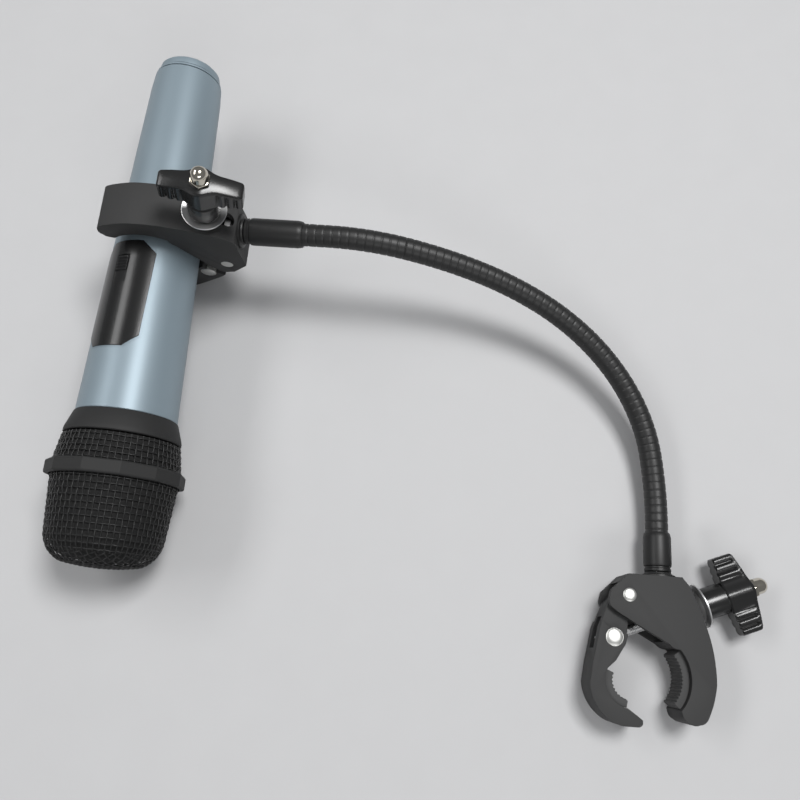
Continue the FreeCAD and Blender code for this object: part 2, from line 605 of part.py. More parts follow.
def build_switch(place):
    """Curved switch panel, the sliding button and the switch body below it."""
    shell = handle_cone(value("d.panel_proud")).cut(handle_cone(-value("d.panel_gauge")))
    panel = shell.common(panel_prism(0.0))
    middle = value("d.switch_at")
    half, length = value("d.switch_half"), value("d.switch_length")
    slot = Part.makeBox(2 * half, 30, length, Vector(-half, PRISM_START, middle - length / 2))
    finish(shaped("switch_panel", panel.cut(slot)), place)
    top = body_radius(middle)
    start = middle - length / 2 + value("d.slider_inset")
    wide, long = value("d.slider_half"), value("d.slider_length")
    slider = Part.makeBox(2 * wide, 3.0, long, Vector(-wide, top - 2.2, start))
    for index in range(4):
        groove = Part.makeBox(2 * wide, 0.5, 0.5, Vector(-wide, top + 0.3, start + 1.0 + 1.2 * index))
        slider = slider.cut(groove)
    finish(shaped("switch_slider", slider), place)
    corner = Vector(-half - 1, top - 6.6, middle - length / 2 - 2)
    housing = Part.makeBox(2 * half + 2, 4.0, length + 4, corner)
    finish(shaped("slide_switch", housing), place)
    for name, (wide, thick, long, height, station) in BOARD_BOXES.items():
        box = Part.makeBox(wide, thick, long, Vector(-wide / 2, height, station))
        finish(shaped(name, box), place)


def build_battery(place):
    """Cell, its open cradle and the tail contact spring."""
    start, length, radius = value("d.cell_start"), value("d.cell_length"), value("d.cell_radius")
    cell = Part.makeCylinder(radius, length, Vector(0, 0, start))
    nub = Part.makeCylinder(2.6, 1.4, Vector(0, 0, start + length))
    finish(shaped("battery_cell", cell.fuse(nub)), place)
    outer = Part.makeCylinder(radius + 2, length + 7, Vector(0, 0, start - 3))
    inner = Part.makeCylinder(radius + 0.1, length + 3, Vector(0, 0, start - 0.2))
    opening = Part.makeBox(40, 20, 200, Vector(-20, 1, -50))
    cradle = outer.cut([inner, opening])
    finish(shaped("battery_cradle", cradle), place)
    rings = [
        Part.makeTorus(5.0 - 0.8 * index, 0.45, Vector(0, 0, 9.6 + 0.95 * index))
        for index in range(4)]
    foot = Vector(0, 0, 9.4)
    core = Part.makeCylinder(2.6, 3.0, foot).cut(Part.makeCylinder(1.8, 3.0, foot))
    spring = rings[0].fuse(rings[1:])
    finish(shaped("contact_spring", spring.fuse(core)), place)


def build_head(place):
    """Wire basket in two rings with a faceted band between, lined with foam."""
    gap = " + d.turning_gap"
    turned_part("upper_basket", [
        ("d.collar_radius", "d.collar_end" + gap), ("d.upper_radius", "d.band_start"),
        ("d.upper_radius - d.mesh_gauge - 0.6", "d.band_start"),
        ("d.collar_radius - d.mesh_gauge", "d.collar_end" + gap)], place)
    corners = polygon_corners(value("d.band_radius"), 12, 15.0, value("d.band_start"))
    height = value("d.band_end - d.band_start")
    block = Part.Face(Part.makePolygon(corners)).extrude(Vector(0, 0, height))
    bore = Part.makeCylinder(value("d.band_bore"), height, Vector(0, 0, value("d.band_start")))
    finish(shaped("grille_band", block.cut(bore)), place)
    inner = "d.lower_radius - d.mesh_gauge"
    turned_part("lower_basket", [
        ("d.lower_radius", "d.band_start"), ("d.lower_end_radius", "d.shoulder"),
        ("15", "d.mic_length - 1.5", 13.0), ("0", "d.mic_length"),
        ("0", "d.mic_length - d.mesh_gauge"), ("14.7", "d.mic_length - 1.5 - d.mesh_gauge"),
        ("d.lower_end_radius - d.mesh_gauge", "d.shoulder", -12.3), (inner, "d.band_start")], place)
    foam = inner + " - d.foam_gap"
    shoulder = "d.lower_end_radius - d.mesh_gauge - d.foam_gap"
    turned_part("foam_liner", [
        (foam, "d.band_start + 1"), (shoulder, "d.shoulder - 1"), ("13.5", "d.mic_length - 4"),
        ("0", "d.mic_length - 2.5"), ("0", "d.mic_length - 2.5 - d.foam_gauge"),
        ("12.5", "d.mic_length - 4 - d.foam_gauge"), (shoulder + " - d.foam_gauge", "d.shoulder - 2"),
        (foam + " - d.foam_gauge", "d.band_start + 1")], place)


def build_capsule(place):
    """Moving-coil capsule: shell, diaphragm, coil, magnet, pole piece and shock ring."""
    start, end, radius = value("d.capsule_start"), value("d.capsule_end"), value("d.capsule_radius")
    turned_part("capsule_shell", [
        ("d.capsule_radius - 1", "d.capsule_start"), ("d.capsule_radius", "d.capsule_start"),
        ("d.capsule_radius", "d.capsule_end"), ("d.capsule_radius - 1", "d.capsule_end")], place)
    turned_part("diaphragm", [
        ("0", "d.capsule_end - 2"), ("d.capsule_radius - 1.1", "d.capsule_end - 3.2"),
        ("d.capsule_radius - 1.1", "d.capsule_end - 2.9"), ("0", "d.capsule_end - 1.7")], place)
    turned_part("voice_coil", [
        ("6.6", "d.capsule_end - 7.5"), ("7.2", "d.capsule_end - 7.5"), ("7.2", "d.capsule_end - 3.3"),
        ("6.6", "d.capsule_end - 3.3")], place)
    magnet = Part.makeCylinder(6.0, 9.0, Vector(0, 0, start + 3))
    finish(shaped("magnet", magnet), place)
    cup = Part.makeCylinder(radius - 1.1, 12.0, Vector(0, 0, start + 0.8))
    pit = Part.makeCylinder(7.8, 12.0, Vector(0, 0, start + 3))
    finish(shaped("pole_cup", cup.cut(pit)), place)
    turned_part("shock_mount", [
        ("d.capsule_radius - 3", "d.collar_end"), ("d.mount_radius + 1.5", "d.collar_end"),
        ("d.mount_radius + 1.5", "d.collar_end + 2.5"), ("d.capsule_radius + 1.6", "d.capsule_start + 4"),
        ("d.capsule_radius + 1.6", "d.capsule_start + 10"), ("d.capsule_radius", "d.capsule_start + 10"),
        ("d.capsule_radius", "d.capsule_start"), ("d.capsule_radius - 3", "d.capsule_start")], place)


def build_microphone(place):
    build_handle(place)
    build_switch(place)
    build_battery(place)
    build_head(place)
    build_capsule(place)


def check_document():
    for item in doc.Objects:
        if {"Invalid", "Error"} & set(item.State):
            raise RuntimeError("%s is %s" % (item.Name, item.State))
    for item in parts:
        if item.Shape.isNull() or not item.Shape.isValid():
            raise RuntimeError("%s has no valid shape" % item.Label)


def write_parts():
    os.makedirs("parts", exist_ok=True)
    for item in parts:
        item.Shape.exportStep("parts/%s.step" % item.Label)
        box = item.Shape.BoundBox
        print("%-22s %9.1f mm3  x %7.1f %7.1f  y %7.1f %7.1f  z %6.1f %6.1f" % (
            item.Label, item.Shape.Volume, box.XMin, box.XMax, box.YMin, box.YMax, box.ZMin, box.ZMax))


fill_sheet()
stand = Placement(Vector(0, 0, STAND_HEIGHT), Rotation())
stand_sleeve = build_clamp("stand", stand, 0.0, "d.stand_sleeve")
mic_sleeve = build_clamp("mic_clamp", mic_clamp_placement(), MIC_JAW_ANGLE, "d.mic_sleeve")
build_gooseneck(stand_sleeve, mic_sleeve)
build_microphone(mic_placement())
doc.recompute()
check_document()
write_parts()
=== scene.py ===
"""Looks of a handheld microphone held in a clamp, on a gooseneck with a second clamp.

Outlines and profiles are in millimetres in the frame of their own part; axes() makes the
matrix that brings them into the row frame, in metres. Places come from the joints of the
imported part.
"""

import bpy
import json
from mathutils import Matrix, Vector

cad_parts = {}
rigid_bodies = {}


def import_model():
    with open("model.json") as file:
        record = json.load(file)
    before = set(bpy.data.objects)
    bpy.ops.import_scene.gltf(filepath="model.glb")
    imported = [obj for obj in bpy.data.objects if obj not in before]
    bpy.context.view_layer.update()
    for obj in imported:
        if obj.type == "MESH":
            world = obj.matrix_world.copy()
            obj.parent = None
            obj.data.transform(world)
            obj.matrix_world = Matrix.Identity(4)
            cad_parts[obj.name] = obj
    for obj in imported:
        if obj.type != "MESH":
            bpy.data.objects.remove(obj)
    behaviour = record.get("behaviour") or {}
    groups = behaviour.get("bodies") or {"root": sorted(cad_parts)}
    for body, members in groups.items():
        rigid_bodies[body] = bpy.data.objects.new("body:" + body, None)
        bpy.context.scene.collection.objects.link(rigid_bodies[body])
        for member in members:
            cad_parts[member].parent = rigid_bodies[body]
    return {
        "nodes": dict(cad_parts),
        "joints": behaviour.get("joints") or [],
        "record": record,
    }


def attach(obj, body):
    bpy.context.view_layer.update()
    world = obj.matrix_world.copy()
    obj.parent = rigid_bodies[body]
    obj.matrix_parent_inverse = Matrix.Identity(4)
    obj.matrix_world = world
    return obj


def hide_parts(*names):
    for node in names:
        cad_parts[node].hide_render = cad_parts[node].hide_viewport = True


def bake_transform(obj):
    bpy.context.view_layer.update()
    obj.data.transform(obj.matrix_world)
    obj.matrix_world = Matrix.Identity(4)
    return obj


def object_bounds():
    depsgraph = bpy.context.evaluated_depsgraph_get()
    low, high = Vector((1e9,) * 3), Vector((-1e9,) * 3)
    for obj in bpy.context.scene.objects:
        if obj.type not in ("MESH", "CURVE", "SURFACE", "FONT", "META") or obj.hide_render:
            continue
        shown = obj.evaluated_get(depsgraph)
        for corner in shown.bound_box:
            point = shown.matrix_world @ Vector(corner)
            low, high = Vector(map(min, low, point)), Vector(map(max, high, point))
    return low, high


bl_info = {
    "name": "Clamp Microphone",
    "version": (1, 0, 0),
    "blender": (4, 5, 0),
    "location": "View3D > Sidebar > Clamp Mic",
    "description": "Builds the visible pieces of a microphone, its two clamps and their gooseneck",
    "category": "Object",
}

import json
import math

import bmesh
import bpy
import numpy as np
from bpy.props import FloatProperty, FloatVectorProperty, IntProperty, PointerProperty
from mathutils import Matrix, Vector
from mathutils.geometry import interpolate_bezier

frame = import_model()
CAD_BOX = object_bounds()
JOINTS = {joint["name"]: joint for joint in frame["joints"]}
SLOTS = {part["node"]: part["material_slot"] for part in frame["record"]["subparts"]}

MM = 0.001
CLAMPS = ("stand", "mic_clamp")
SWIVELS = {"stand": "stand_swivel", "mic_clamp": "mic_swivel"}

# The clamp's own plane, in millimetres
PIVOT = Vector((-6.4, 30.3, 0.0))
TRUNNION = Vector((-12.2, 13.9, 0.0))
STUD_TOP = 2.2               # from the casting to the swivel joint
SEAT = 35.8                  # from the trunnion to the seat of the washer
PLATE_HALF = 9.0
JAW_HALF = 7.7
PANEL_ROLL = 23.0            # the switch panel is turned this far from straight up
HEAD_JOINT = 173.0           # the grille's joint, from the tail
MIC_STATION = 84.0           # the roll joint, from the tail


# ---------------------------------------------------------------- sizes and colours

class MicSizes(bpy.types.PropertyGroup):
    """Sizes of the microphone's own pieces"""
    wire_pitch: FloatProperty(
        name="Wire pitch", description="Distance between the wires of the grille",
        default=2.5 * MM, min=0.8 * MM, max=4 * MM, precision=5, unit="LENGTH")
    wire_radius: FloatProperty(
        name="Wire radius", description="Radius of one wire of the grille",
        default=0.25 * MM, min=0.1 * MM, max=0.5 * MM, precision=5, unit="LENGTH")
    crease: FloatProperty(
        name="Panel crease", description="Height of the crease along the switch panel",
        default=0.25 * MM, min=0.0, max=0.4 * MM, precision=5, unit="LENGTH")
    spokes: IntProperty(
        name="Grille spokes", description="Wires up the side of the grille, an even number",
        default=64, min=20, max=160, step=2)
    turn_steps: IntProperty(
        name="Steps", description="Steps of a turned piece", default=128, min=32, max=256)


class ClampSizes(bpy.types.PropertyGroup):
    """Sizes of the clamps' pieces"""
    edge: FloatProperty(
        name="Edge radius", description="Rounding of the cast edges",
        default=0.55 * MM, min=0.1 * MM, max=1.0 * MM, precision=5, unit="LENGTH")
    tooth: FloatProperty(
        name="Tooth height", description="Height of the teeth of the rubber pads",
        default=0.4 * MM, min=0.1 * MM, max=1.0 * MM, precision=5, unit="LENGTH")
    thread_pitch: FloatProperty(
        name="Thread pitch", description="Pitch of the screw rod's thread",
        default=0.7 * MM, min=0.4 * MM, max=1.5 * MM, precision=5, unit="LENGTH")


class NeckSizes(bpy.types.PropertyGroup):
    """Sizes of the gooseneck's hose"""
    rib_pitch: FloatProperty(
        name="Rib pitch", description="Distance between the hose's seams",
        default=3.3 * MM, min=1 * MM, max=8 * MM, precision=5, unit="LENGTH")
    rib_depth: FloatProperty(
        name="Rib depth", description="Depth of a seam as a share of the hose's radius",
        default=0.048, min=0.0, max=0.3, subtype="FACTOR")


class Colours(bpy.types.PropertyGroup):
    """Main colours of the finishes"""
    handle: FloatVectorProperty(
        name="Handle", description="Blue-grey metallic paint of the handle",
        default=(0.125, 0.15, 0.163), size=3, min=0, max=1, subtype="COLOR")
    casting: FloatVectorProperty(
        name="Castings", description="Satin black of the clamp castings",
        default=(0.0095, 0.0095, 0.0105), size=3, min=0, max=1, subtype="COLOR")
    knob: FloatVectorProperty(
        name="Knobs", description="Black of the moulded knobs",
        default=(0.006, 0.006, 0.0065), size=3, min=0, max=1, subtype="COLOR")
    hose: FloatVectorProperty(
        name="Hose", description="Black of the gooseneck and its sleeves",
        default=(0.008, 0.008, 0.0086), size=3, min=0, max=1, subtype="COLOR")
    floor: FloatVectorProperty(
        name="Floor", description="Colour of the floor",
        default=(0.5, 0.5, 0.505), size=3, min=0, max=1, subtype="COLOR")


# ---------------------------------------------------------------- shader groups

def new_group(name, inputs, outputs):
    """Empty shader group with float inputs (name, default) and outputs (name, socket type)."""
    group = bpy.data.node_groups.new(name, "ShaderNodeTree")
    for label, default in inputs:
        socket = group.interface.new_socket(label, in_out="INPUT", socket_type="NodeSocketFloat")
        socket.default_value = default
    for label, kind in outputs:
        group.interface.new_socket(label, in_out="OUTPUT", socket_type=kind)
    return group, group.nodes.new("NodeGroupInput"), group.nodes.new("NodeGroupOutput")


def noise(tree, coordinates, scale, detail=3.0, rough=0.55):
    node = tree.nodes.new("ShaderNodeTexNoise")
    node.inputs["Detail"].default_value = detail
    node.inputs["Roughness"].default_value = rough
    if isinstance(scale, bpy.types.NodeSocket):
        tree.links.new(scale, node.inputs["Scale"])
    else:
        node.inputs["Scale"].default_value = scale
    tree.links.new(coordinates, node.inputs["Vector"])
    return node.outputs["Fac"]


def math_node(tree, operation, first, second=0.5, clamp=False):
    node = tree.nodes.new("ShaderNodeMath")
    node.operation = operation
    node.use_clamp = clamp
    for socket, given in zip(node.inputs, (first, second)):
        if isinstance(given, bpy.types.NodeSocket):
            tree.links.new(given, socket)
        else:
            socket.default_value = given
    return node.outputs[0]


def remap(tree, source, low, high, to_low=0.0, to_high=1.0):
    """Map a value from one range to another, clamped."""
    node = tree.nodes.new("ShaderNodeMapRange")
    node.clamp = True
    tree.links.new(source, node.inputs["Value"])
    for label, given in (("From Min", low), ("From Max", high), ("To Min", to_low), ("To Max", to_high)):
        if isinstance(given, bpy.types.NodeSocket):
            tree.links.new(given, node.inputs[label])
        else:
            node.inputs[label].default_value = given
    return node.outputs["Result"]


def object_coordinates(tree):
    return tree.nodes.new("ShaderNodeTexCoord").outputs["Object"]


def grain_group():
    """Fine moulding or casting grain: a height for bump and a slow change of tone."""
    group, given, result = new_group(
        "surface_grain", [("Scale", 2500.0)],
        [("Height", "NodeSocketFloat"), ("Tone", "NodeSocketFloat")])
    place = object_coordinates(group)
    fine = noise(group, place, given.outputs["Scale"], 4.0, 0.7)
    broad = noise(group, place, 55.0, 3.0)
    group.links.new(fine, result.inputs["Height"])
    group.links.new(remap(group, broad, 0.3, 0.7), result.inputs["Tone"])
    return group


def edge_group():
    """Where an outer edge has been rubbed paler."""
    group, given, result = new_group(
        "edge_wear", [("Amount", 0.5)], [("Wear", "NodeSocketFloat")])
    bevel = group.nodes.new("ShaderNodeBevel")
    bevel.samples = 4
    bevel.inputs["Radius"].default_value = 0.7 * MM
    plain = group.nodes.new("ShaderNodeNewGeometry")
    dot = group.nodes.new("ShaderNodeVectorMath")
    dot.operation = "DOT_PRODUCT"
    group.links.new(bevel.outputs["Normal"], dot.inputs[0])
    group.links.new(plain.outputs["Normal"], dot.inputs[1])
    edge = remap(group, dot.outputs["Value"], 0.985, 0.86)
    patchy = remap(group, noise(group, object_coordinates(group), 420.0, 4.0), 0.35, 0.62)
    worn = math_node(group, "MULTIPLY", edge, patchy)
    group.links.new(math_node(group, "MULTIPLY", worn, given.outputs["Amount"]), result.inputs["Wear"])
    return group


def scuff_group():
    """Thin short scratches and rubbed patches."""
    group, given, result = new_group(
        "scuffs", [("Amount", 0.3), ("Size", 1.0)], [("Scuff", "NodeSocketFloat")])
    place = object_coordinates(group)
    masks = []
    for turn, stretch in ((0.6, 9.0), (-0.9, 11.0)):
        mapping = group.nodes.new("ShaderNodeMapping")
        mapping.inputs["Rotation"].default_value = (0.3, 0.2, turn)
        mapping.inputs["Scale"].default_value = (90.0, 90.0 * stretch, 220.0)
        group.links.new(place, mapping.inputs["Vector"])
        masks.append(remap(group, noise(group, mapping.outputs[0], given.outputs["Size"], 3.0), 0.66, 0.74))
    patch = remap(group, noise(group, place, 60.0, 2.0), 0.5, 0.64)
    both = math_node(group, "MAXIMUM", masks[0], masks[1])
    shown = math_node(group, "MULTIPLY", both, patch)
    group.links.new(math_node(group, "MULTIPLY", shown, given.outputs["Amount"]), result.inputs["Scuff"])
    return group


def dust_group():
    """Sparse pale specks that lie on surfaces facing up."""
    group, given, result = new_group("dust", [("Amount", 0.3)], [("Dust", "NodeSocketFloat")])
    place = object_coordinates(group)
    cells = group.nodes.new("ShaderNodeTexVoronoi")
    cells.inputs["Scale"].default_value = 320.0
    group.links.new(place, cells.inputs["Vector"])
    specks = remap(group, cells.outputs["Distance"], 0.16, 0.07)
    patch = remap(group, noise(group, place, 130.0, 2.0), 0.5, 0.62)
    split = group.nodes.new("ShaderNodeSeparateXYZ")
    plain = group.nodes.new("ShaderNodeNewGeometry")
    group.links.new(plain.outputs["Normal"], split.inputs[0])
    up = remap(group, split.outputs["Z"], 0.1, 0.8)
    shown = math_node(group, "MULTIPLY", math_node(group, "MULTIPLY", specks, patch), up)
    group.links.new(math_node(group, "MULTIPLY", shown, given.outputs["Amount"]), result.inputs["Dust"])
    return group


GROUP_MAKERS = {"surface_grain": grain_group, "edge_wear": edge_group, "scuffs": scuff_group,
                "dust": dust_group}


def use_group(tree, name, **values):
    node = tree.nodes.new("ShaderNodeGroup")
    node.node_tree = bpy.data.node_groups.get(name) or GROUP_MAKERS[name]()
    for label, given in values.items():
        node.inputs[label].default_value = given
    return node


# ---------------------------------------------------------------- finishes

BLACK_GLOSS = 0.22            # reflection of the moulded and lacquered blacks


class Finish:
    """A principled material under construction, with the effects that a finish can have."""

    def __init__(self, name, colour, roughness, metallic=0.0):
        self.material = bpy.data.materials.new(name)
        self.material.use_nodes = True
        self.tree = self.material.node_tree
        self.shader = self.tree.nodes["Principled BSDF"]
        self.colour = colour
        self.roughness = roughness
        self.shader.inputs["Base Color"].default_value = (*colour, 1.0)
        self.shader.inputs["Roughness"].default_value = roughness
        self.shader.inputs["Metallic"].default_value = metallic
        self.shader.inputs["Specular IOR Level"].default_value = 0.5 if metallic else BLACK_GLOSS
        self.last_colour = None
        self.last_height = None

    def mix_colour(self, mask, colour):
        """Lay another colour over what is there, by a mask."""
        node = self.tree.nodes.new("ShaderNodeMix")
        node.data_type = "RGBA"
        self.tree.links.new(mask, node.inputs["Factor"])
        if self.last_colour is None:
            node.inputs["A"].default_value = (*self.colour, 1.0)
        else:
            self.tree.links.new(self.last_colour, node.inputs["A"])
        node.inputs["B"].default_value = (*colour, 1.0)
        self.last_colour = node.outputs["Result"]

    def vary_roughness(self, mask, spread):
        varied = remap(self.tree, mask, 0.0, 1.0, self.roughness - spread, self.roughness + spread)
        self.tree.links.new(varied, self.shader.inputs["Roughness"])

    def grain(self, scale, depth, tone=0.0, spread=0.05):
        """Bump of the given depth in metres, with slow changes of tone and roughness."""
        node = use_group(self.tree, "surface_grain", Scale=scale)
        self.bump(node.outputs["Height"], depth)
        self.vary_roughness(node.outputs["Tone"], spread)
        if tone:
            mask = math_node(self.tree, "MULTIPLY", node.outputs["Tone"], tone)
            self.mix_colour(mask, tuple(min(1.0, part * 1.6 + 0.003) for part in self.colour))

    def bump(self, height, depth):
        node = self.tree.nodes.new("ShaderNodeBump")
        node.inputs["Strength"].default_value = 1.0
        node.inputs["Distance"].default_value = depth
        self.tree.links.new(height, node.inputs["Height"])
        if self.last_height is not None:
            self.tree.links.new(self.last_height, node.inputs["Normal"])
        self.last_height = node.outputs["Normal"]

    def wear(self, amount, colour):
        self.mix_colour(use_group(self.tree, "edge_wear", Amount=amount).outputs["Wear"], colour)

    def scuffs(self, amount, colour, size=1.0):
        node = use_group(self.tree, "scuffs", Amount=amount, Size=size)
        self.mix_colour(node.outputs["Scuff"], colour)

    def dust(self, amount):
        self.mix_colour(use_group(self.tree, "dust", Amount=amount).outputs["Dust"], (0.5, 0.49, 0.47))

    def done(self):
        if self.last_colour is not None:
            self.tree.links.new(self.last_colour, self.shader.inputs["Base Color"])
        if self.last_height is not None:
            self.tree.links.new(self.last_height, self.shader.inputs["Normal"])
        return self.material


def layered_finish(source, roughness, grain, scuffs=None, wear=None, dust=0.0):
    """Maker of a dark finish from a colour or a colour setting, with its surface effects on top."""
    def make(name, colours):
        colour = tuple(getattr(colours, source)) if isinstance(source, str) else source
        finish = Finish(name, colour, roughness)
        finish.grain(*grain)
        if scuffs:
            finish.scuffs(*scuffs)
        if wear:
            finish.wear(*wear)
        if dust:
            finish.dust(dust)
        return finish.done()
    return make


def handle_finish(name, colours):
    """Metallic paint: fine flakes and small scuffs."""
    finish = Finish(name, tuple(colours.handle), 0.3, 0.9)
    flakes = noise(finish.tree, object_coordinates(finish.tree), 5200.0, 2.0, 0.8)
    finish.mix_colour(remap(finish.tree, flakes, 0.45, 0.75, 0.0, 0.3), (0.24, 0.28, 0.3))
    finish.grain(2600.0, 0.006 * MM, 0.12, 0.05)
    finish.scuffs(0.3, (0.55, 0.6, 0.63), 0.7)
    finish.wear(0.5, (0.62, 0.66, 0.68))
    return finish.done()


def wire_finish(name, colours):
    """Black lacquer on steel wire, with grey patches laid at random by noise."""
    finish = Finish(name, (0.06, 0.06, 0.06), 0.22, 0.8)
    grey_patches = noise(finish.tree, object_coordinates(finish.tree), 700.0, 3.0)
    finish.mix_colour(remap(finish.tree, grey_patches, 0.56, 0.66, 0.0, 0.5), (0.34, 0.34, 0.33))
    finish.grain(1200.0, 0.01 * MM, 0.0, 0.08)
    return finish.done()


def foam_finish(name, colours):
    """Open-cell foam, near black."""
    finish = Finish(name, (0.0015, 0.0015, 0.0015), 0.95)
    cells = finish.tree.nodes.new("ShaderNodeTexVoronoi")
    cells.inputs["Scale"].default_value = 900.0
    finish.tree.links.new(object_coordinates(finish.tree), cells.inputs["Vector"])
    walls = remap(finish.tree, cells.outputs["Distance"], 0.2, 0.6, 0.0, 0.6)
    finish.mix_colour(walls, (0.003, 0.003, 0.003))
    finish.bump(cells.outputs["Distance"], 0.3 * MM)
    return finish.done()


def rivet_finish(name, colours):
    """Bright riveted ends, hammered and mottled."""
    finish = Finish(name, (0.74, 0.74, 0.72), 0.3, 0.9)
    dents = noise(finish.tree, object_coordinates(finish.tree), 900.0, 3.0)
    finish.mix_colour(remap(finish.tree, dents, 0.5, 0.72, 0.0, 0.55), (0.33, 0.34, 0.34))
    finish.bump(dents, 0.25 * MM)
    finish.vary_roughness(remap(finish.tree, dents, 0.3, 0.7), 0.1)
    return finish.done()


def metal_finish(colour, roughness, streaks):
    """Maker of a plated metal whose tone and gloss change a little."""
    def make(name, colours):
        finish = Finish(name, colour, roughness, 1.0)
        blotches = noise(finish.tree, object_coordinates(finish.tree), streaks, 4.0)
        darker = tuple(part * 0.6 for part in colour)
        finish.mix_colour(remap(finish.tree, blotches, 0.5, 0.72, 0.0, 0.6), darker)
        finish.vary_roughness(remap(finish.tree, blotches, 0.35, 0.65), roughness * 0.45)
        finish.bump(blotches, 0.01 * MM)
        return finish.done()
    return make


def moulded_finish(colour, roughness, tone=0.5, metallic=0.0):
    """Maker of a plain moulded or cast finish for the pieces inside."""
    def make(name, colours):
        finish = Finish(name, colour, roughness, metallic)
        finish.grain(1100.0, 0.015 * MM, tone, 0.06)
        finish.wear(0.2, tuple(min(1.0, part * 2 + 0.05) for part in colour))
        return finish.done()
    return make


def board_finish(name, colours):
    """Green solder mask with rows of tinned pads."""
    finish = Finish(name, (0.01, 0.12, 0.04), 0.35)
    bricks = finish.tree.nodes.new("ShaderNodeTexBrick")
    bricks.inputs["Scale"].default_value = 260.0
    bricks.inputs["Mortar Size"].default_value = 0.32
    bricks.inputs["Color1"].default_value = (1, 1, 1, 1)
    bricks.inputs["Color2"].default_value = (0.6, 0.6, 0.6, 1)
    bricks.inputs["Mortar"].default_value = (0, 0, 0, 1)
    finish.tree.links.new(object_coordinates(finish.tree), bricks.inputs["Vector"])
    lanes = noise(finish.tree, object_coordinates(finish.tree), 90.0, 1.0)
    pads = math_node(finish.tree, "MULTIPLY", bricks.outputs["Color"], remap(finish.tree, lanes, 0.55, 0.6))
    finish.mix_colour(pads, (0.6, 0.58, 0.5))
    finish.grain(1500.0, 0.01 * MM, 0.2, 0.05)
    return finish.done()


FINISHES = {
    "clamp_black": layered_finish("casting", 0.42, (1900.0, 0.02 * MM, 0.45, 0.07),
                                  (0.35, (0.12, 0.12, 0.125)), (0.5, (0.14, 0.14, 0.145)), 0.25),
    "knob_black": layered_finish("knob", 0.3, (900.0, 0.012 * MM, 0.3, 0.06),
                                 None, (0.35, (0.13, 0.13, 0.135)), 0.3),
    "gooseneck_black": layered_finish("hose", 0.36, (1300.0, 0.01 * MM, 0.4, 0.08),
                                      (0.25, (0.11, 0.11, 0.115), 0.8), None, 0.35),
    "sleeve_black": layered_finish("hose", 0.4, (1700.0, 0.01 * MM, 0.35, 0.06),
                                   None, (0.4, (0.14, 0.14, 0.145)), 0.2),
    "collar_black": layered_finish((0.006, 0.006, 0.0066), 0.24, (1500.0, 0.01 * MM, 0.4, 0.06),
                                   None, (0.5, (0.12, 0.12, 0.12)), 0.25),
    "panel_gloss": layered_finish((0.008, 0.008, 0.009), 0.2, (700.0, 0.004 * MM, 0.3, 0.05),
                                  (0.25, (0.09, 0.09, 0.095), 1.3), (0.5, (0.1, 0.1, 0.105)), 0.35),
    "rubber": layered_finish((0.016, 0.016, 0.016), 0.8, (1400.0, 0.04 * MM, 0.6, 0.08), dust=0.8),
    "handle_blue": handle_finish, "mesh_black": wire_finish, "foam": foam_finish,
    "rivet_steel": rivet_finish,
    "zinc_steel": metal_finish((0.84, 0.85, 0.86), 0.2, 420.0),
    "nickel": metal_finish((0.66, 0.62, 0.52), 0.2, 300.0),
    "copper": metal_finish((0.72, 0.36, 0.2), 0.35, 500.0),
    "magnet_iron": metal_finish((0.32, 0.31, 0.3), 0.45, 350.0),
    "board_green": board_finish,
    "chip_black": moulded_finish((0.02, 0.02, 0.022), 0.5),
    "battery_wrap": moulded_finish((0.45, 0.45, 0.47), 0.35, 0.2, 0.4),
    "diaphragm_film": moulded_finish((0.6, 0.58, 0.5), 0.25, 0.2),
    "shock_rubber": moulded_finish((0.03, 0.03, 0.03), 0.75),
}


def material(slot_name):
    """The material of a slot, made when it is first asked for."""
    found = bpy.data.materials.get(slot_name)
    return found or FINISHES[slot_name](slot_name, bpy.context.scene.clamp_mic_colours)


# ---------------------------------------------------------------- frames of the parts

def axes(side, front, up, origin):
    """Matrix from a part's own frame in millimetres to the row frame in metres."""
    turn = Matrix((side, front, up)).transposed().to_4x4()
    turn.translation = origin
    return turn @ Matrix.Scale(MM, 4)


def clamp_axes(prefix):
    """Clamp plane: X across, Y towards the gooseneck, Z through the plates."""
    jaw, swivel = JOINTS[prefix + "_jaw_close"], JOINTS[SWIVELS[prefix]]
    up, front = Vector(jaw["axis"]), Vector(swivel["axis"])
    side = front.cross(up).normalized()
    turn = Matrix((side, front, up)).transposed()
    return axes(side, front, up, Vector(jaw["pos_m"]) - turn @ PIVOT * MM)


def jaw_axes(prefix):
    """The clamp plane turned with its jaw, read from where the trunnion is."""
    clamp = clamp_axes(prefix)
    now = clamp.inverted() @ Vector(JOINTS[prefix + "_trunnion_turn"]["pos_m"]) - PIVOT
    built = TRUNNION - PIVOT
    angle = math.atan2(now.y, now.x) - math.atan2(built.y, built.x)
    about = Matrix.Translation(PIVOT) @ Matrix.Rotation(angle, 4, "Z") @ Matrix.Translation(-PIVOT)
    return clamp @ about


def rod_axes(prefix):
    """Z along the screw rod from the trunnion outwards, X along the knob's wings."""
    knob = JOINTS[prefix + "_knob_turn"]
    up = Vector(knob["axis"])
    across = Vector(JOINTS[prefix + "_jaw_close"]["axis"])
    side = across.cross(up).normalized()
    return axes(side, up.cross(side), up, Vector(knob["pos_m"]) - up * SEAT * MM)


def stud_axes(prefix):
    """Z along the stud, from the top of the casting."""
    swivel = JOINTS[SWIVELS[prefix]]
    up = Vector(swivel["axis"])
    front = Vector(JOINTS[prefix + "_jaw_close"]["axis"])
    return axes(front.cross(up), front, up, Vector(swivel["pos_m"]) - up * STUD_TOP * MM)


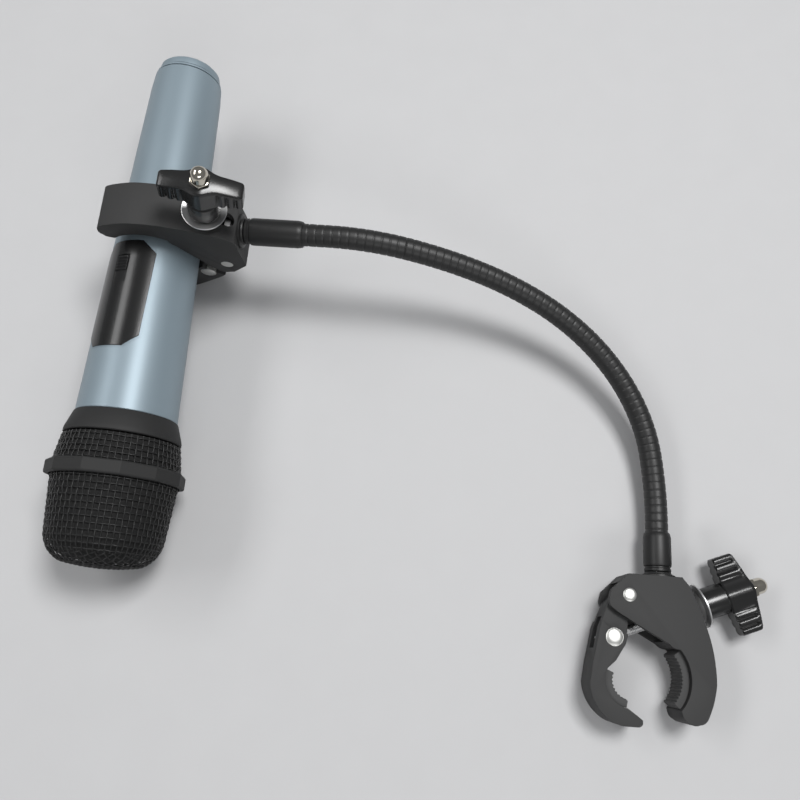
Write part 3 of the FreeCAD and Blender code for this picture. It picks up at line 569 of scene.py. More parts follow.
def mic_axes():
    """Z from the tail to the head, Y out of the switch panel."""
    roll = JOINTS["mic_roll"]
    up = Vector(roll["axis"])
    level = Vector((0, 0, 1)).cross(up).normalized()
    top = up.cross(level).normalized()
    turn = math.radians(PANEL_ROLL)
    front = top * math.cos(turn) - level * math.sin(turn)
    return axes(front.cross(up), front, up, Vector(roll["pos_m"]) - up * MIC_STATION * MM)


# ---------------------------------------------------------------- mesh helpers

def rounded(points, steps=4):
    """Outline of (x, y) or (x, y, radius) corners, with an arc at each that has a radius."""
    result = []
    for index, point in enumerate(points):
        here = Vector(point[:2])
        if len(point) == 2:
            result.append(here)
            continue
        back = (Vector(points[index - 1][:2]) - here).normalized()
        ahead = (Vector(points[(index + 1) % len(points)][:2]) - here).normalized()
        half = back.angle(ahead) / 2
        reach = point[2] / math.tan(half)
        centre = here + (back + ahead).normalized() * (point[2] / math.sin(half))
        first = here + back * reach - centre
        last = here + ahead * reach - centre
        for step in range(steps + 1):
            result.append(centre + first.lerp(last, step / steps).normalized() * point[2])
    return result


def turned(profile, closed=True, steps=None):
    """Solid of revolution about Z from (radius, height) points."""
    steps = steps or bpy.context.scene.clamp_mic_sizes.turn_steps
    bm = bmesh.new()
    verts = [bm.verts.new((x, 0, z)) for x, z in rounded(profile)]
    edges = [bm.edges.new(pair) for pair in zip(verts, verts[1:])]
    if closed:
        edges.append(bm.edges.new((verts[-1], verts[0])))
    bmesh.ops.spin(bm, geom=verts + edges, cent=(0, 0, 0), axis=(0, 0, 1), dvec=(0, 0, 0),
                   angle=2 * math.pi, steps=steps, use_merge=True)
    return bm


def verts_of(items):
    """The vertices among mixed mesh elements."""
    return [item for item in items if isinstance(item, bmesh.types.BMVert)]


def open_edges(bm):
    """The edges that have a face on one side only."""
    return [edge for edge in bm.edges if edge.is_boundary]


def rise(bm, face, height):
    """Extrude a cap upwards and return the new cap."""
    lone = all(len(edge.link_faces) == 1 for edge in face.edges)
    grown = bmesh.ops.extrude_face_region(bm, geom=[face])["geom"]
    if not lone:
        bmesh.ops.delete(bm, geom=[face], context="FACES_ONLY")
    bmesh.ops.translate(bm, verts=verts_of(grown), vec=(0, 0, height))
    return [item for item in grown if isinstance(item, bmesh.types.BMFace)][0]


def slab(outline, low, high):
    """Prism over an outline between two heights."""
    bm = bmesh.new()
    face = bm.faces.new([bm.verts.new((x, y, low)) for x, y in outline])
    rise(bm, face, high - low)
    bmesh.ops.recalc_face_normals(bm, faces=bm.faces)
    return bm


def soften(bm, width, angle=35.0, segments=2):
    """Round the edges whose faces turn by more than an angle."""
    limit = math.radians(angle)
    edges = [edge for edge in bm.edges if edge.is_manifold and edge.calc_face_angle() > limit]
    bmesh.ops.bevel(bm, geom=edges, offset=width, offset_type="OFFSET", segments=segments,
                    profile=0.5, affect="EDGES", clamp_overlap=True, material=-1)


def link_mesh(name, mesh, slot_name, nodes=()):
    piece = bpy.data.objects.new(name, mesh)
    bpy.context.scene.collection.objects.link(piece)
    mesh.materials.clear()
    mesh.materials.append(material(slot_name))
    if nodes:
        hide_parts(*nodes)
    return piece


def add_piece(name, bm, place, body, slot_name, nodes=(), sharp=38.0):
    """Finish a mesh, bring it to its place and let it ride on a body."""
    bmesh.ops.remove_doubles(bm, verts=bm.verts, dist=0.0005)
    bmesh.ops.recalc_face_normals(bm, faces=bm.faces)
    bm.transform(place)
    mesh = bpy.data.meshes.new(name)
    bm.to_mesh(mesh)
    bm.free()
    mesh.shade_smooth()
    mesh.set_sharp_from_angle(angle=math.radians(sharp))
    piece = link_mesh(name, mesh, slot_name, nodes)
    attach(piece, body)
    return piece


def joined(*meshes):
    """One mesh from several."""
    whole = bmesh.new()
    for bm in meshes:
        part = bpy.data.meshes.new("part")
        bm.to_mesh(part)
        bm.free()
        whole.from_mesh(part)
        bpy.data.meshes.remove(part)
    return whole


def wires(name, runs, radius, place, body, slot_name, nodes=(), sides=0):
    """Round wires along lists of (point, radius factor), as one mesh in millimetres."""
    curve = bpy.data.curves.new(name, "CURVE")
    curve.dimensions = "3D"
    curve.bevel_depth = radius
    curve.bevel_resolution = sides
    curve.use_fill_caps = True
    for run in runs:
        spline = curve.splines.new("POLY")
        spline.points.add(len(run) - 1)
        spline.points.foreach_set("co", [c for point, _ in run for c in (*point, 1.0)])
        spline.points.foreach_set("radius", [factor for _, factor in run])
        spline.use_smooth = True
    holder = bpy.data.objects.new(name + "_line", curve)
    mesh = bpy.data.meshes.new_from_object(holder)
    bpy.data.objects.remove(holder)
    bpy.data.curves.remove(curve)
    mesh.name = name
    mesh.transform(place)
    mesh.shade_smooth()
    mesh.set_sharp_from_angle(angle=math.radians(70.0))
    piece = link_mesh(name, mesh, slot_name, nodes)
    if body:
        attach(piece, body)
    return piece


# ---------------------------------------------------------------- clamps

def build_casting(node, body, width):
    """Rounded copy of a clamp casting."""
    bm = bmesh.new()
    bm.from_mesh(frame["nodes"][node].data)
    bm.transform(Matrix.Scale(1 / MM, 4))
    bmesh.ops.remove_doubles(bm, verts=bm.verts, dist=0.002)
    bmesh.ops.dissolve_limit(bm, angle_limit=math.radians(0.6), use_dissolve_boundaries=False,
                             verts=bm.verts, edges=bm.edges)
    soften(bm, width, 33.0, 3)
    add_piece(node + "_cast", bm, Matrix.Scale(MM, 4), body, "clamp_black", [node])


def build_rivet(name, radius, half, crown, centre, place, body, nodes):
    """Riveted pin end to end, its upper head a little proud."""
    profile = [(0, -half), (radius - 0.3, -half), (radius, -half + 0.3), (radius, half - 0.1),
               (radius * 0.9, half + crown * 0.5), (radius * 0.55, half + crown),
               (0, half + crown)]
    add_piece(name, turned(profile, closed=False, steps=48), place @ Matrix.Translation(centre), body,
              "rivet_steel", nodes)


def build_heads(name, radius, half, centre, place, body):
    """Two shallow rivet heads on the ends of the cross barrel."""
    meshes = []
    for side in (1, -1):
        bm = turned([(0, half - 0.8), (radius, half - 0.8), (radius, half), (radius * 0.9, half + 0.25),
                     (radius * 0.5, half + 0.4), (0, half + 0.4)], closed=False, steps=48)
        bmesh.ops.scale(bm, verts=bm.verts, vec=(1, 1, side))
        meshes.append(bm)
    add_piece(name, joined(*meshes), place @ Matrix.Translation(centre), body, "rivet_steel")


def toothed_ring(inner, outer, start, end, tooth, pitch):
    """Outline of a curved pad with teeth on its inner side."""
    teeth = round(math.radians(end - start) * inner / pitch)
    outline = []
    for index in range(teeth * 4 + 1):
        angle = math.radians(start + (end - start) * index / (teeth * 4))
        reach = inner + (tooth if index % 4 in (0, 3) else 0.0)
        outline.append((reach * math.cos(angle), reach * math.sin(angle)))
    for index in range(41):
        angle = math.radians(end + (start - end) * index / 40)
        outline.append((outer * math.cos(angle), outer * math.sin(angle)))
    return outline


TOOTH_PITCH = 1.35
PAD_HALF = 6.5
# Inner and outer radius, first and last angle, centre
FIXED_PAD = (13.9, 16.95, -40.0, 38.0, (0, 0))
MOVING_PAD = (6.9, 9.95, 158.0, 260.0, (-5.8, -2.0))


def build_pad(name, inner, outer, start, end, centre, place, body, node):
    tooth = bpy.context.scene.clamp_mic_clamps.tooth / MM
    bm = slab(toothed_ring(inner, outer, start, end, tooth, TOOTH_PITCH), -PAD_HALF, PAD_HALF)
    soften(bm, 0.12, 40.0, 1)
    add_piece(name, bm, place @ Matrix.Translation((*centre, 0)), body, "rubber", [node])


class CLAMPMIC_OT_castings(bpy.types.Operator):
    """Cast frames, jaws, rivets and rubber pads of both clamps"""
    bl_idname = "clampmic.castings"
    bl_label = "Clamp Castings"

    def execute(self, context):
        edge = context.scene.clamp_mic_clamps.edge / MM
        for prefix in CLAMPS:
            plane, jaw = clamp_axes(prefix), jaw_axes(prefix)
            build_casting(prefix + "_frame", prefix, edge)
            build_casting(prefix + "_jaw", prefix + "_jaw", edge * 0.9)
            build_rivet(prefix + "_pivot_rivet", 2.75, PLATE_HALF, 0.35, PIVOT, plane, prefix,
                        [prefix + "_pivot_pin"])
            build_heads(prefix + "_barrel_heads", 3.3, JAW_HALF, TRUNNION, jaw, prefix + "_trunnion")
            build_pad(prefix + "_fixed_rubber", *FIXED_PAD, plane, prefix, prefix + "_fixed_pad")
            build_pad(prefix + "_moving_rubber", *MOVING_PAD, jaw, prefix + "_jaw", prefix + "_moving_pad")
        return {"FINISHED"}


# ---------------------------------------------------------------- knobs and screws

WING_SPAN = 15.8
WING_HALF = 3.4
HUB_START, HUB_END = 40.0, 49.5
KNOB_TOP = 61.7
WASHER_START = 36.9


def wing_half_width(x, grooved):
    """Half thickness of the knob at a distance along its wings."""
    reach = abs(x)
    half = WING_HALF + 2.6 * math.exp(-(reach / 4.0) ** 2) + 0.35 * math.sin(reach / WING_SPAN * math.pi)
    tip = WING_SPAN - 1.3
    if reach > tip:
        half -= 1.3 - math.sqrt(max(1.69 - (reach - tip) ** 2, 0.0))
    if grooved:
        for place, depth, width in ((6.6, 0.5, 0.9), (9.6, 1.0, 0.62), (12.9, 1.0, 0.62)):
            half -= depth * math.exp(-((reach - place) / width) ** 2)
    return half


def knob_outline(grooved, inset):
    steps = 150
    stations = [-WING_SPAN * math.cos(math.pi * k / steps) for k in range(steps + 1)]
    upper = [(x * (1 - inset / WING_SPAN), wing_half_width(x, grooved) - inset) for x in stations]
    lower = [(x, -y) for x, y in reversed(upper)]
    return upper + lower


def build_wings():
    """Wings and centre of the knob, in layers from the hub to its roof-shaped face."""
    bm = bmesh.new()
    layers = [(HUB_END, True, 0.5), (HUB_END + 0.6, True, 0.0), (KNOB_TOP - 2.6, True, 0.0),
              (KNOB_TOP - 1.7, False, 0.0), (KNOB_TOP - 0.7, False, 0.05), (KNOB_TOP - 0.25, False, 0.3),
              (KNOB_TOP, False, 0.8)]
    rings = []
    for height, grooved, inset in layers:
        verts = [bm.verts.new((x, y, height)) for x, y in knob_outline(grooved, inset)]
        edges = [bm.edges.new(pair) for pair in zip(verts, verts[1:] + verts[:1])]
        rings.append((verts, edges))
    for (_, below), (_, above) in zip(rings, rings[1:]):
        bmesh.ops.bridge_loops(bm, edges=below + above)
    for verts, _ in (rings[0], rings[-1]):
        bm.faces.new(verts)
    for x in range(-15, 16):
        bmesh.ops.bisect_plane(bm, geom=bm.verts[:] + bm.edges[:] + bm.faces[:], dist=1e-4,
                               plane_co=(x, 0, 0), plane_no=(1, 0, 0))
    for vert in bm.verts:
        share = abs(vert.co.x) / WING_SPAN
        along = (vert.co.z - HUB_END) / (KNOB_TOP - HUB_END)
        vert.co.z += 1.2 * share * (1 - along) - 2.6 * share ** 1.6 * along
    return bm


def build_knob(prefix):
    hub = turned([(1.9, HUB_START), (6.3, HUB_START, 0.5), (6.3, HUB_END - 0.4), (5.6, HUB_END + 0.6),
                  (1.9, HUB_END + 0.6)], steps=64)
    add_piece(prefix + "_thumb_knob", joined(hub, build_wings()), rod_axes(prefix), prefix + "_screw",
              "knob_black", [prefix + "_knob"], 30.0)


def build_acorn_nut(prefix):
    """Hexagon with chamfered corners and a high dome."""
    base = bmesh.new()
    bmesh.ops.create_circle(base, cap_ends=True, segments=6, radius=3.5 / math.cos(math.pi / 6))
    bmesh.ops.translate(base, verts=base.verts, vec=(0, 0, KNOB_TOP + 0.02))
    rise(base, base.faces[:][0], 2.0)
    bmesh.ops.recalc_face_normals(base, faces=base.faces)
    soften(base, 0.3, 50.0, 2)
    top = KNOB_TOP + 7.35
    dome = [(3.42, KNOB_TOP + 1.6), (3.3, KNOB_TOP + 2.3)]
    for step in range(1, 13):
        angle = math.pi / 2 * step / 12
        dome.append((3.3 * math.cos(angle), top - 3.3 + 3.3 * math.sin(angle)))
    dome[-1] = (0, top)
    cap = turned([(0, KNOB_TOP + 1.6)] + dome, closed=False, steps=48)
    add_piece(prefix + "_cap_nut", joined(base, cap), rod_axes(prefix), prefix + "_screw", "nickel",
              [prefix + "_acorn_nut"], 40.0)


def build_rod(prefix):
    """Threaded rod: one pitch of thread profile, wound along the rod."""
    pitch = bpy.context.scene.clamp_mic_clamps.thread_pitch / MM
    low, high, around = -5.8, KNOB_TOP + 2.0, 24
    turns = int((high - low) / pitch)
    bm = bmesh.new()
    thread = ((1.72, 0), (1.97, 0.4), (1.97, 0.6), (1.72, 1))
    verts = [bm.verts.new((x, 0, low + z * pitch)) for x, z in thread]
    edges = [bm.edges.new(pair) for pair in zip(verts, verts[1:])]
    bmesh.ops.spin(bm, geom=verts + edges, cent=(0, 0, 0), axis=(0, 0, 1), dvec=(0, 0, pitch / around),
                   angle=2 * math.pi * turns, steps=around * turns, use_merge=False)
    bmesh.ops.remove_doubles(bm, verts=bm.verts, dist=0.01)
    bmesh.ops.holes_fill(bm, edges=open_edges(bm), sides=0)
    add_piece(prefix + "_thread", bm, rod_axes(prefix), prefix + "_screw", "zinc_steel",
              [prefix + "_screw_rod"], 50.0)


def build_washer(prefix):
    """Dished washer: flat bevelled rim round an inner cone."""
    outline = [(2.25, 0.0), (4.6, 0.0), (6.4, 1.6), (8.7, 2.2), (8.85, 2.4), (8.85, 2.75), (8.65, 2.85),
               (6.2, 2.35), (4.4, 0.75), (2.25, 0.75)]
    profile = [(radius, WASHER_START + height) for radius, height in outline]
    add_piece(prefix + "_dished_washer", turned(profile, steps=96), rod_axes(prefix), prefix + "_washer",
              "zinc_steel", [prefix + "_washer"], 20.0)


class CLAMPMIC_OT_screws(bpy.types.Operator):
    """Knobs, cap nuts, threaded rods and dished washers"""
    bl_idname = "clampmic.screws"
    bl_label = "Clamp Screws"

    def execute(self, context):
        for prefix in CLAMPS:
            build_knob(prefix)
            build_acorn_nut(prefix)
            build_rod(prefix)
            build_washer(prefix)
        return {"FINISHED"}


# ---------------------------------------------------------------- gooseneck

SLEEVES = {"stand": (16.0, "neck_1"), "mic_clamp": (24.0, "neck_8")}
HOSE_RADIUS = 4.6
SLEEVE_GRIP = 6.0


def build_sleeve(prefix):
    """Smooth end sleeve with a turned foot, and the lock nut under it."""
    length, body = SLEEVES[prefix]
    low, high = STUD_TOP, STUD_TOP + length
    profile = [(3.1, low), (5.0, low), (5.3, low + 0.3), (5.3, low + 1.2), (4.95, low + 1.5),
               (4.95, low + 2.0), (5.45, low + 2.4), (5.58, low + 3.2), (5.58, high - 2.2),
               (5.3, high - 0.5), (4.95, high), (4.62, high), (4.62, high - SLEEVE_GRIP),
               (3.1, high - SLEEVE_GRIP)]
    add_piece(prefix + "_end_sleeve", turned(profile), stud_axes(prefix), body, "sleeve_black",
              [prefix + "_sleeve"])
    nut = [(3.05, 0.0), (6.95, 0.0), (6.95, 0.9, 0.2), (5.6, 1.2), (5.4, 1.95, 0.2), (3.05, 1.95)]
    add_piece(prefix + "_flange_nut", turned(nut), stud_axes(prefix), prefix, "sleeve_black",
              [prefix + "_lock_nut"])


def neck_joint_points():
    """Joints of the gooseneck from one sleeve to the other, in metres."""
    found = [joint for joint in frame["joints"] if joint["parent"].startswith("neck_")
             and joint["child"].startswith("neck_")]
    return [Vector(joint["pos_m"]) for joint in sorted(found, key=lambda joint: joint["parent"])]


def hose_end(prefix):
    """Point inside a sleeve where the hose starts, in metres."""
    length, _ = SLEEVES[prefix]
    return stud_axes(prefix) @ Vector((0, 0, STUD_TOP + length - SLEEVE_GRIP + 0.5))


def hose_pieces():
    """Runs of the hose: straight to the middle of the first length, then a bend round each joint."""
    joints = neck_joint_points()
    points = [hose_end("stand")] + joints + [hose_end("mic_clamp")]
    middles = [(a + b) / 2 for a, b in zip(points, points[1:])]
    runs = [[points[0].lerp(middles[0], k / 60) for k in range(61)]]
    for joint, start, end in zip(joints, middles, middles[1:]):
        runs.append(interpolate_bezier(start, start.lerp(joint, 2 / 3), end.lerp(joint, 2 / 3), end, 100))
    runs.append([middles[-1].lerp(points[-1], k / 60) for k in range(61)])
    return runs


class CLAMPMIC_OT_gooseneck(bpy.types.Operator):
    """Ribbed hose of the gooseneck, in lengths that bend at its joints, and its end sleeves"""
    bl_idname = "clampmic.gooseneck"
    bl_label = "Gooseneck"

    def execute(self, context):
        sizes = context.scene.clamp_mic_neck
        travelled = 0.0
        runs = hose_pieces()
        for number, run in enumerate(runs):
            points = []
            for index, point in enumerate(run):
                if index:
                    travelled += (point - run[index - 1]).length
                seam = max(0.0, math.cos(2 * math.pi * travelled / sizes.rib_pitch)) ** 8
                points.append((point, 0.995 - sizes.rib_depth * seam))
            body = {0: "neck_1", len(runs) - 1: "neck_8"}.get(number)
            nodes = ["neck_%d" % (number + 1)] if number < 8 else []
            piece = wires("neck_hose_%d" % number, [points], HOSE_RADIUS * MM, Matrix.Identity(4), body,
                          "gooseneck_black", nodes, 10)
            if body is None:
                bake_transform(piece)
        for prefix in CLAMPS:
            build_sleeve(prefix)
        return {"FINISHED"}


# ---------------------------------------------------------------- microphone

class CLAMPMIC_OT_handle(bpy.types.Operator):
    """Painted handle tube, its tail cap and the collar under the grille"""
    bl_idname = "clampmic.handle"
    bl_label = "Handle"

    def execute(self, context):
        place = mic_axes()
        tube = [(12.6, 6.1), (14.3, 6.1), (14.7, 6.5), (14.75, 7.4), (15.3, 14.0), (20.0, 163.7),
                (19.8, 164.0), (18.6, 164.0), (13.9, 14.0)]
        add_piece("handle_tube", turned(tube), place, "microphone", "handle_blue", ["mic_body"], 25.0)
        cap = [(0, 0), (10.9, 0), (12.3, 0.35), (13.15, 1.2), (13.4, 2.4), (13.4, 4.0), (12.95, 4.15),
               (12.95, 4.75), (14.25, 4.8), (14.3, 5.7), (12.2, 5.8), (12.2, 2.0), (0, 2.0)]
        add_piece("screw_cap", turned(cap, closed=False), place, "tail_cap", "handle_blue",
                  ["tail_cap"], 25.0)
        collar = [(16.6, 164.05), (20.25, 164.05), (20.45, 164.3), (22.8, 171.0), (22.9, 171.6),
                  (22.9, 172.6), (22.6, 172.95), (16.6, 172.95)]
        add_piece("head_collar", turned(collar), place, "microphone", "collar_black", ["collar_ring"], 25.0)
        return {"FINISHED"}


TAPER_START, TAPER_LENGTH = 14.0, 150.0      # stations of the conical part of the handle
TAPER_RADIUS, TAPER_GROWTH = 15.3, 4.7


def handle_radius(station):
    """Radius of the handle's outside at a distance from the tail."""
    return TAPER_RADIUS + TAPER_GROWTH * (station - TAPER_START) / TAPER_LENGTH


def wrap(bm, lift):
    """Bend a flat sheet of (across, height, station) round the handle."""
    for vert in bm.verts:
        across, height, station = vert.co
        radius = handle_radius(station)
        angle = math.asin(max(-1.0, min(1.0, across / radius)))
        reach = radius + height + lift
        vert.co = (reach * math.sin(angle), reach * math.cos(angle), station)


PANEL_LOW, PANEL_HIGH, PANEL_HALF, PANEL_CORNER = 93.0, 139.0, 12.2, 5.0
WELL_LOW, WELL_HIGH, WELL_HALF = 99.5, 111.5, 3.1


def panel_outline(grow):
    half, low, high, corner = PANEL_HALF + grow, PANEL_LOW - grow, PANEL_HIGH + grow, PANEL_CORNER
    return [(-half, low + corner), (-half + corner, low), (half - corner, low), (half, low + corner),
            (half, high - corner), (half - corner, high), (-half + corner, high), (-half, high - corner)]


def flat_sheet(outline, cuts_across, cuts_along):
    """Flat face in the XZ plane, cut so that it can bend."""
    bm = bmesh.new()
    bm.faces.new([bm.verts.new((x, 0, z)) for x, z in outline])
    for normal, places in (((1, 0, 0), cuts_across), ((0, 0, 1), cuts_along)):
        for where in places:
            bmesh.ops.bisect_plane(bm, geom=bm.verts[:] + bm.edges[:] + bm.faces[:], dist=1e-4,
                                   plane_co=Vector(normal) * where, plane_no=normal)
    return bm


def build_panel(place):
    """Glossy eight-sided panel with a crease along it and a well for the slider."""
    crease = bpy.context.scene.clamp_mic_sizes.crease / MM
    across = sorted(set([k * 1.0 for k in range(-12, 13)] + [-WELL_HALF, WELL_HALF, 0.15, -0.15]))
    bm = flat_sheet(panel_outline(-0.1), across, [WELL_LOW, WELL_HIGH])
    well = [face for face in bm.faces if abs(face.calc_center_median().x) < WELL_HALF
            and WELL_LOW < face.calc_center_median().z < WELL_HIGH]
    bmesh.ops.recalc_face_normals(bm, faces=bm.faces)
    for vert in bm.verts:
        vert.co.y = 0.06 + crease * max(0.0, 1.0 - abs(vert.co.x) / 9.0)
    walls = bmesh.ops.extrude_face_region(bm, geom=well)["geom"]
    bmesh.ops.delete(bm, geom=well, context="FACES_ONLY")
    for vert in verts_of(walls):
        vert.co.y = -0.25
    skirt = bmesh.ops.extrude_edge_only(bm, edges=open_edges(bm))["geom"]
    for vert in verts_of(skirt):
        vert.co.y = -0.6
    bmesh.ops.holes_fill(bm, edges=open_edges(bm), sides=0)
    wrap(bm, 0.3)
    bmesh.ops.recalc_face_normals(bm, faces=bm.faces)
    soften(bm, 0.12, 50.0, 1)
    add_piece("glossy_panel", bm, place, "microphone", "panel_gloss", ["switch_panel"], 12.0)


def build_panel_rim(place):
    """Thin raised lip of the handle round the panel."""
    bm = flat_sheet(panel_outline(0.35), [k * 1.0 for k in range(-12, 13)], [])
    rim = bmesh.ops.inset_region(bm, faces=bm.faces[:], thickness=0.34, use_even_offset=True,
                                 use_boundary=True)["faces"]
    inner = [face for face in bm.faces if face not in set(rim)]
    bmesh.ops.delete(bm, geom=inner, context="FACES")
    shell = bmesh.ops.extrude_face_region(bm, geom=bm.faces[:])["geom"]
    for vert in verts_of(shell):
        vert.co.y += 0.5
    wrap(bm, -0.32)
    bmesh.ops.recalc_face_normals(bm, faces=bm.faces)
    add_piece("panel_lip", bm, place, "microphone", "handle_blue", (), 30.0)


def build_slider(place):
    """Sliding button: a flat pad with four ribs across its lower half."""
    top = handle_radius(105.5)
    base = 100.3
    outline = [(base, top - 1.9), (base, top + 0.55), (base + 0.4, top + 0.75)]
    for rib in range(4):
        start = base + 0.8 + rib * 1.25
        outline += [(start, top + 0.75), (start + 0.2, top + 0.35), (start + 0.75, top + 0.35),
                    (start + 0.95, top + 0.75)]
    outline += [(base + 5.7, top + 0.75), (base + 6.0, top + 0.5), (base + 6.0, top - 1.9)]
    bm = slab(outline, -2.75, 2.75)
    bm.transform(Matrix(((0, 0, 1, 0), (0, 1, 0, 0), (1, 0, 0, 0), (0, 0, 0, 1))))
    bmesh.ops.recalc_face_normals(bm, faces=bm.faces)
    soften(bm, 0.1, 40.0, 1)
    add_piece("ribbed_slider", bm, place, "switch_slider", "panel_gloss", ["switch_slider"], 30.0)


class CLAMPMIC_OT_panel(bpy.types.Operator):
    """Switch panel, its lip and the sliding button"""
    bl_idname = "clampmic.panel"
    bl_label = "Switch Panel"

    def execute(self, context):
        place = mic_axes()
        build_panel(place)
        build_panel_rim(place)
        build_slider(place)
        return {"FINISHED"}


# ---------------------------------------------------------------- grille

BAND_LOW, BAND_HIGH, BAND_RADIUS, BAND_BORE = 184.4, 190.1, 26.9, 24.95
TIP = 224.0
CROWN_EDGE = 218.6           # station where the side weave meets the crown
SHOULDER = (22.8, 212.0)
CROWN = (15.0, 222.5)
CROWN_ARC = 13.0             # radius of the bend between the shoulder and the crown
WIRE_SWING = 0.9             # how far a wire moves to each side of the sheet, in wire radii
WIRE_DEPTH = 2.0             # how far the sheet lies under the basket's outline, in wire radii


def basket_profile():
    """Outer outline of the grille from its tip to the collar, as radii and stations."""
    radii = [CROWN[0] * k / 12 for k in range(13)]
    stations = [TIP - (TIP - CROWN[1]) * (r / CROWN[0]) ** 2 for r in radii]
    start, end = Vector(CROWN), Vector(SHOULDER)
    middle = (start + end) / 2
    chord = end - start
    out = Vector((-chord.y, chord.x)).normalized()
    centre = middle - out * math.sqrt(CROWN_ARC ** 2 - (chord.length / 2) ** 2)
    for step in range(1, 17):
        ray = (start - centre).lerp(end - centre, step / 16).normalized() * CROWN_ARC
        radii.append(centre.x + ray.x)
        stations.append(centre.y + ray.y)
    for radius, station in ((24.8, BAND_LOW + 3), (24.9, BAND_LOW), (23.1, HEAD_JOINT + 0.5)):
        radii.append(radius)
        stations.append(station)
    return np.array(radii), np.array(stations)


def outline_lookup(radii, stations, travel):
    """Lookup of the radius and station at a distance along the outline, raised by a lift."""
    slopes = np.gradient(radii, travel), np.gradient(stations, travel)

    def look(distance, lift):
        run = Vector([float(np.interp(distance, travel, slope)) for slope in slopes]).normalized()
        radius = float(np.interp(distance, travel, radii)) - run.y * lift
        return radius, float(np.interp(distance, travel, stations)) + run.x * lift

    return look


def crown_weave(low, pitch, wire):
    """Wires of a flat woven sheet pressed over the tip of the basket, from a station upwards."""
    radii, stations = basket_profile()
    steps = np.hypot(np.diff(radii), np.diff(stations))
    areas = np.concatenate([[0], np.cumsum(math.pi * (radii[1:] + radii[:-1]) * steps)])
    flat = np.sqrt(areas / math.pi)
    outer = float(np.interp(-low, -stations, flat))
    look = outline_lookup(radii, stations, flat)

    def lay(across, along, lift):
        """Point of the flat sheet on the basket."""
        distance = math.hypot(across, along)
        radius, station = look(distance, lift)
        cosine, sine = (across / distance, along / distance) if distance > 1e-6 else (1.0, 0.0)
        return Vector((radius * cosine, radius * sine, station))

    runs = []
    half = pitch / 2
    count = int(outer / pitch)
    for swapped in (False, True):
        for line in range(-count, count + 1):
            offset = line * pitch
            reach = math.sqrt(outer ** 2 - offset ** 2)
            inside = range(math.ceil(-reach / half), math.floor(reach / half) + 1)
            run = []
            for along in [-reach] + [k * half for k in inside] + [reach]:
                phase = math.cos(math.pi * along / pitch) * (-1) ** line
                lift = wire * WIRE_SWING * (phase if swapped else -phase) - WIRE_DEPTH * wire
                point = lay(along, offset, lift) if swapped else lay(offset, along, lift)
                run.append((point, 1.0))
            if len(run) > 2 and 2 * reach > half:
                runs.append(run)
    return runs


def side_weave(low, high, pitch, wire, spokes):
    """Plain weave round the basket between two stations: wires up the side and rings."""
    radii, stations = basket_profile()
    lengths = np.concatenate([[0], np.cumsum(np.hypot(np.diff(radii), np.diff(stations)))])
    start = float(np.interp(-high, -stations, lengths))
    span = float(np.interp(-low, -stations, lengths)) - start
    rings = max(2, round(span / pitch))
    look = outline_lookup(radii, stations, lengths)

    def lay(angle, along, lift):
        """Point of the basket: an angle, rings from the upper edge and a height above the sheet."""
        radius, station = look(start + along / rings * span, lift)
        return Vector((radius * math.cos(angle), radius * math.sin(angle), station))

    def lift(phase):
        return wire * (WIRE_SWING * math.cos(math.pi * phase) - WIRE_DEPTH)

    runs = []
    for spoke in range(spokes):
        angle = 2 * math.pi * spoke / spokes
        runs.append([(lay(angle, k / 2, lift(k / 2 - 0.5 + spoke)), 1.0) for k in range(2 * rings + 1)])
    for ring in range(rings):
        runs.append([(lay(math.pi * k / spokes, ring + 0.5, lift(k / 2 + ring + 1)), 1.0)
                     for k in range(2 * spokes + 1)])
    return runs


def build_band(place):
    """Twelve-sided band with bevelled edges round a bore."""
    base = Matrix.Translation((0, 0, BAND_LOW))
    band = bmesh.new()
    bmesh.ops.create_circle(band, cap_ends=True, segments=12, radius=BAND_RADIUS,
                            matrix=base @ Matrix.Rotation(math.radians(15), 4, "Z"))
    rise(band, band.faces[:][0], BAND_HIGH - BAND_LOW)
    bmesh.ops.recalc_face_normals(band, faces=band.faces)
    soften(band, 0.9, 60.0, 3)
    soften(band, 0.35, 25.0, 2)
    caps = [face for face in band.faces if len(face.verts) >= 12]
    bmesh.ops.delete(band, geom=caps, context="FACES_ONLY")
    bore = bmesh.new()
    bmesh.ops.create_circle(bore, cap_ends=False, segments=72, radius=BAND_BORE, matrix=base)
    whole = joined(band, bore)
    low_rim = [edge for edge in open_edges(whole) if edge.verts[0].co.z < BAND_LOW + 1]
    high_rim = [edge for edge in open_edges(whole) if edge.verts[0].co.z > BAND_HIGH - 1]
    circle = [edge for edge in whole.edges if edge.is_wire]
    grown = bmesh.ops.extrude_edge_only(whole, edges=circle)["geom"]
    upper = verts_of(grown)
    bmesh.ops.translate(whole, verts=upper, vec=(0, 0, BAND_HIGH - BAND_LOW))
    upper_edges = [item for item in grown if isinstance(item, bmesh.types.BMEdge)
                   and all(vert in upper for vert in item.verts)]
    bmesh.ops.bridge_loops(whole, edges=low_rim + circle)
    bmesh.ops.bridge_loops(whole, edges=high_rim + upper_edges)
    add_piece("faceted_band", whole, place, "grille", "collar_black", ["grille_band"], 8.0)


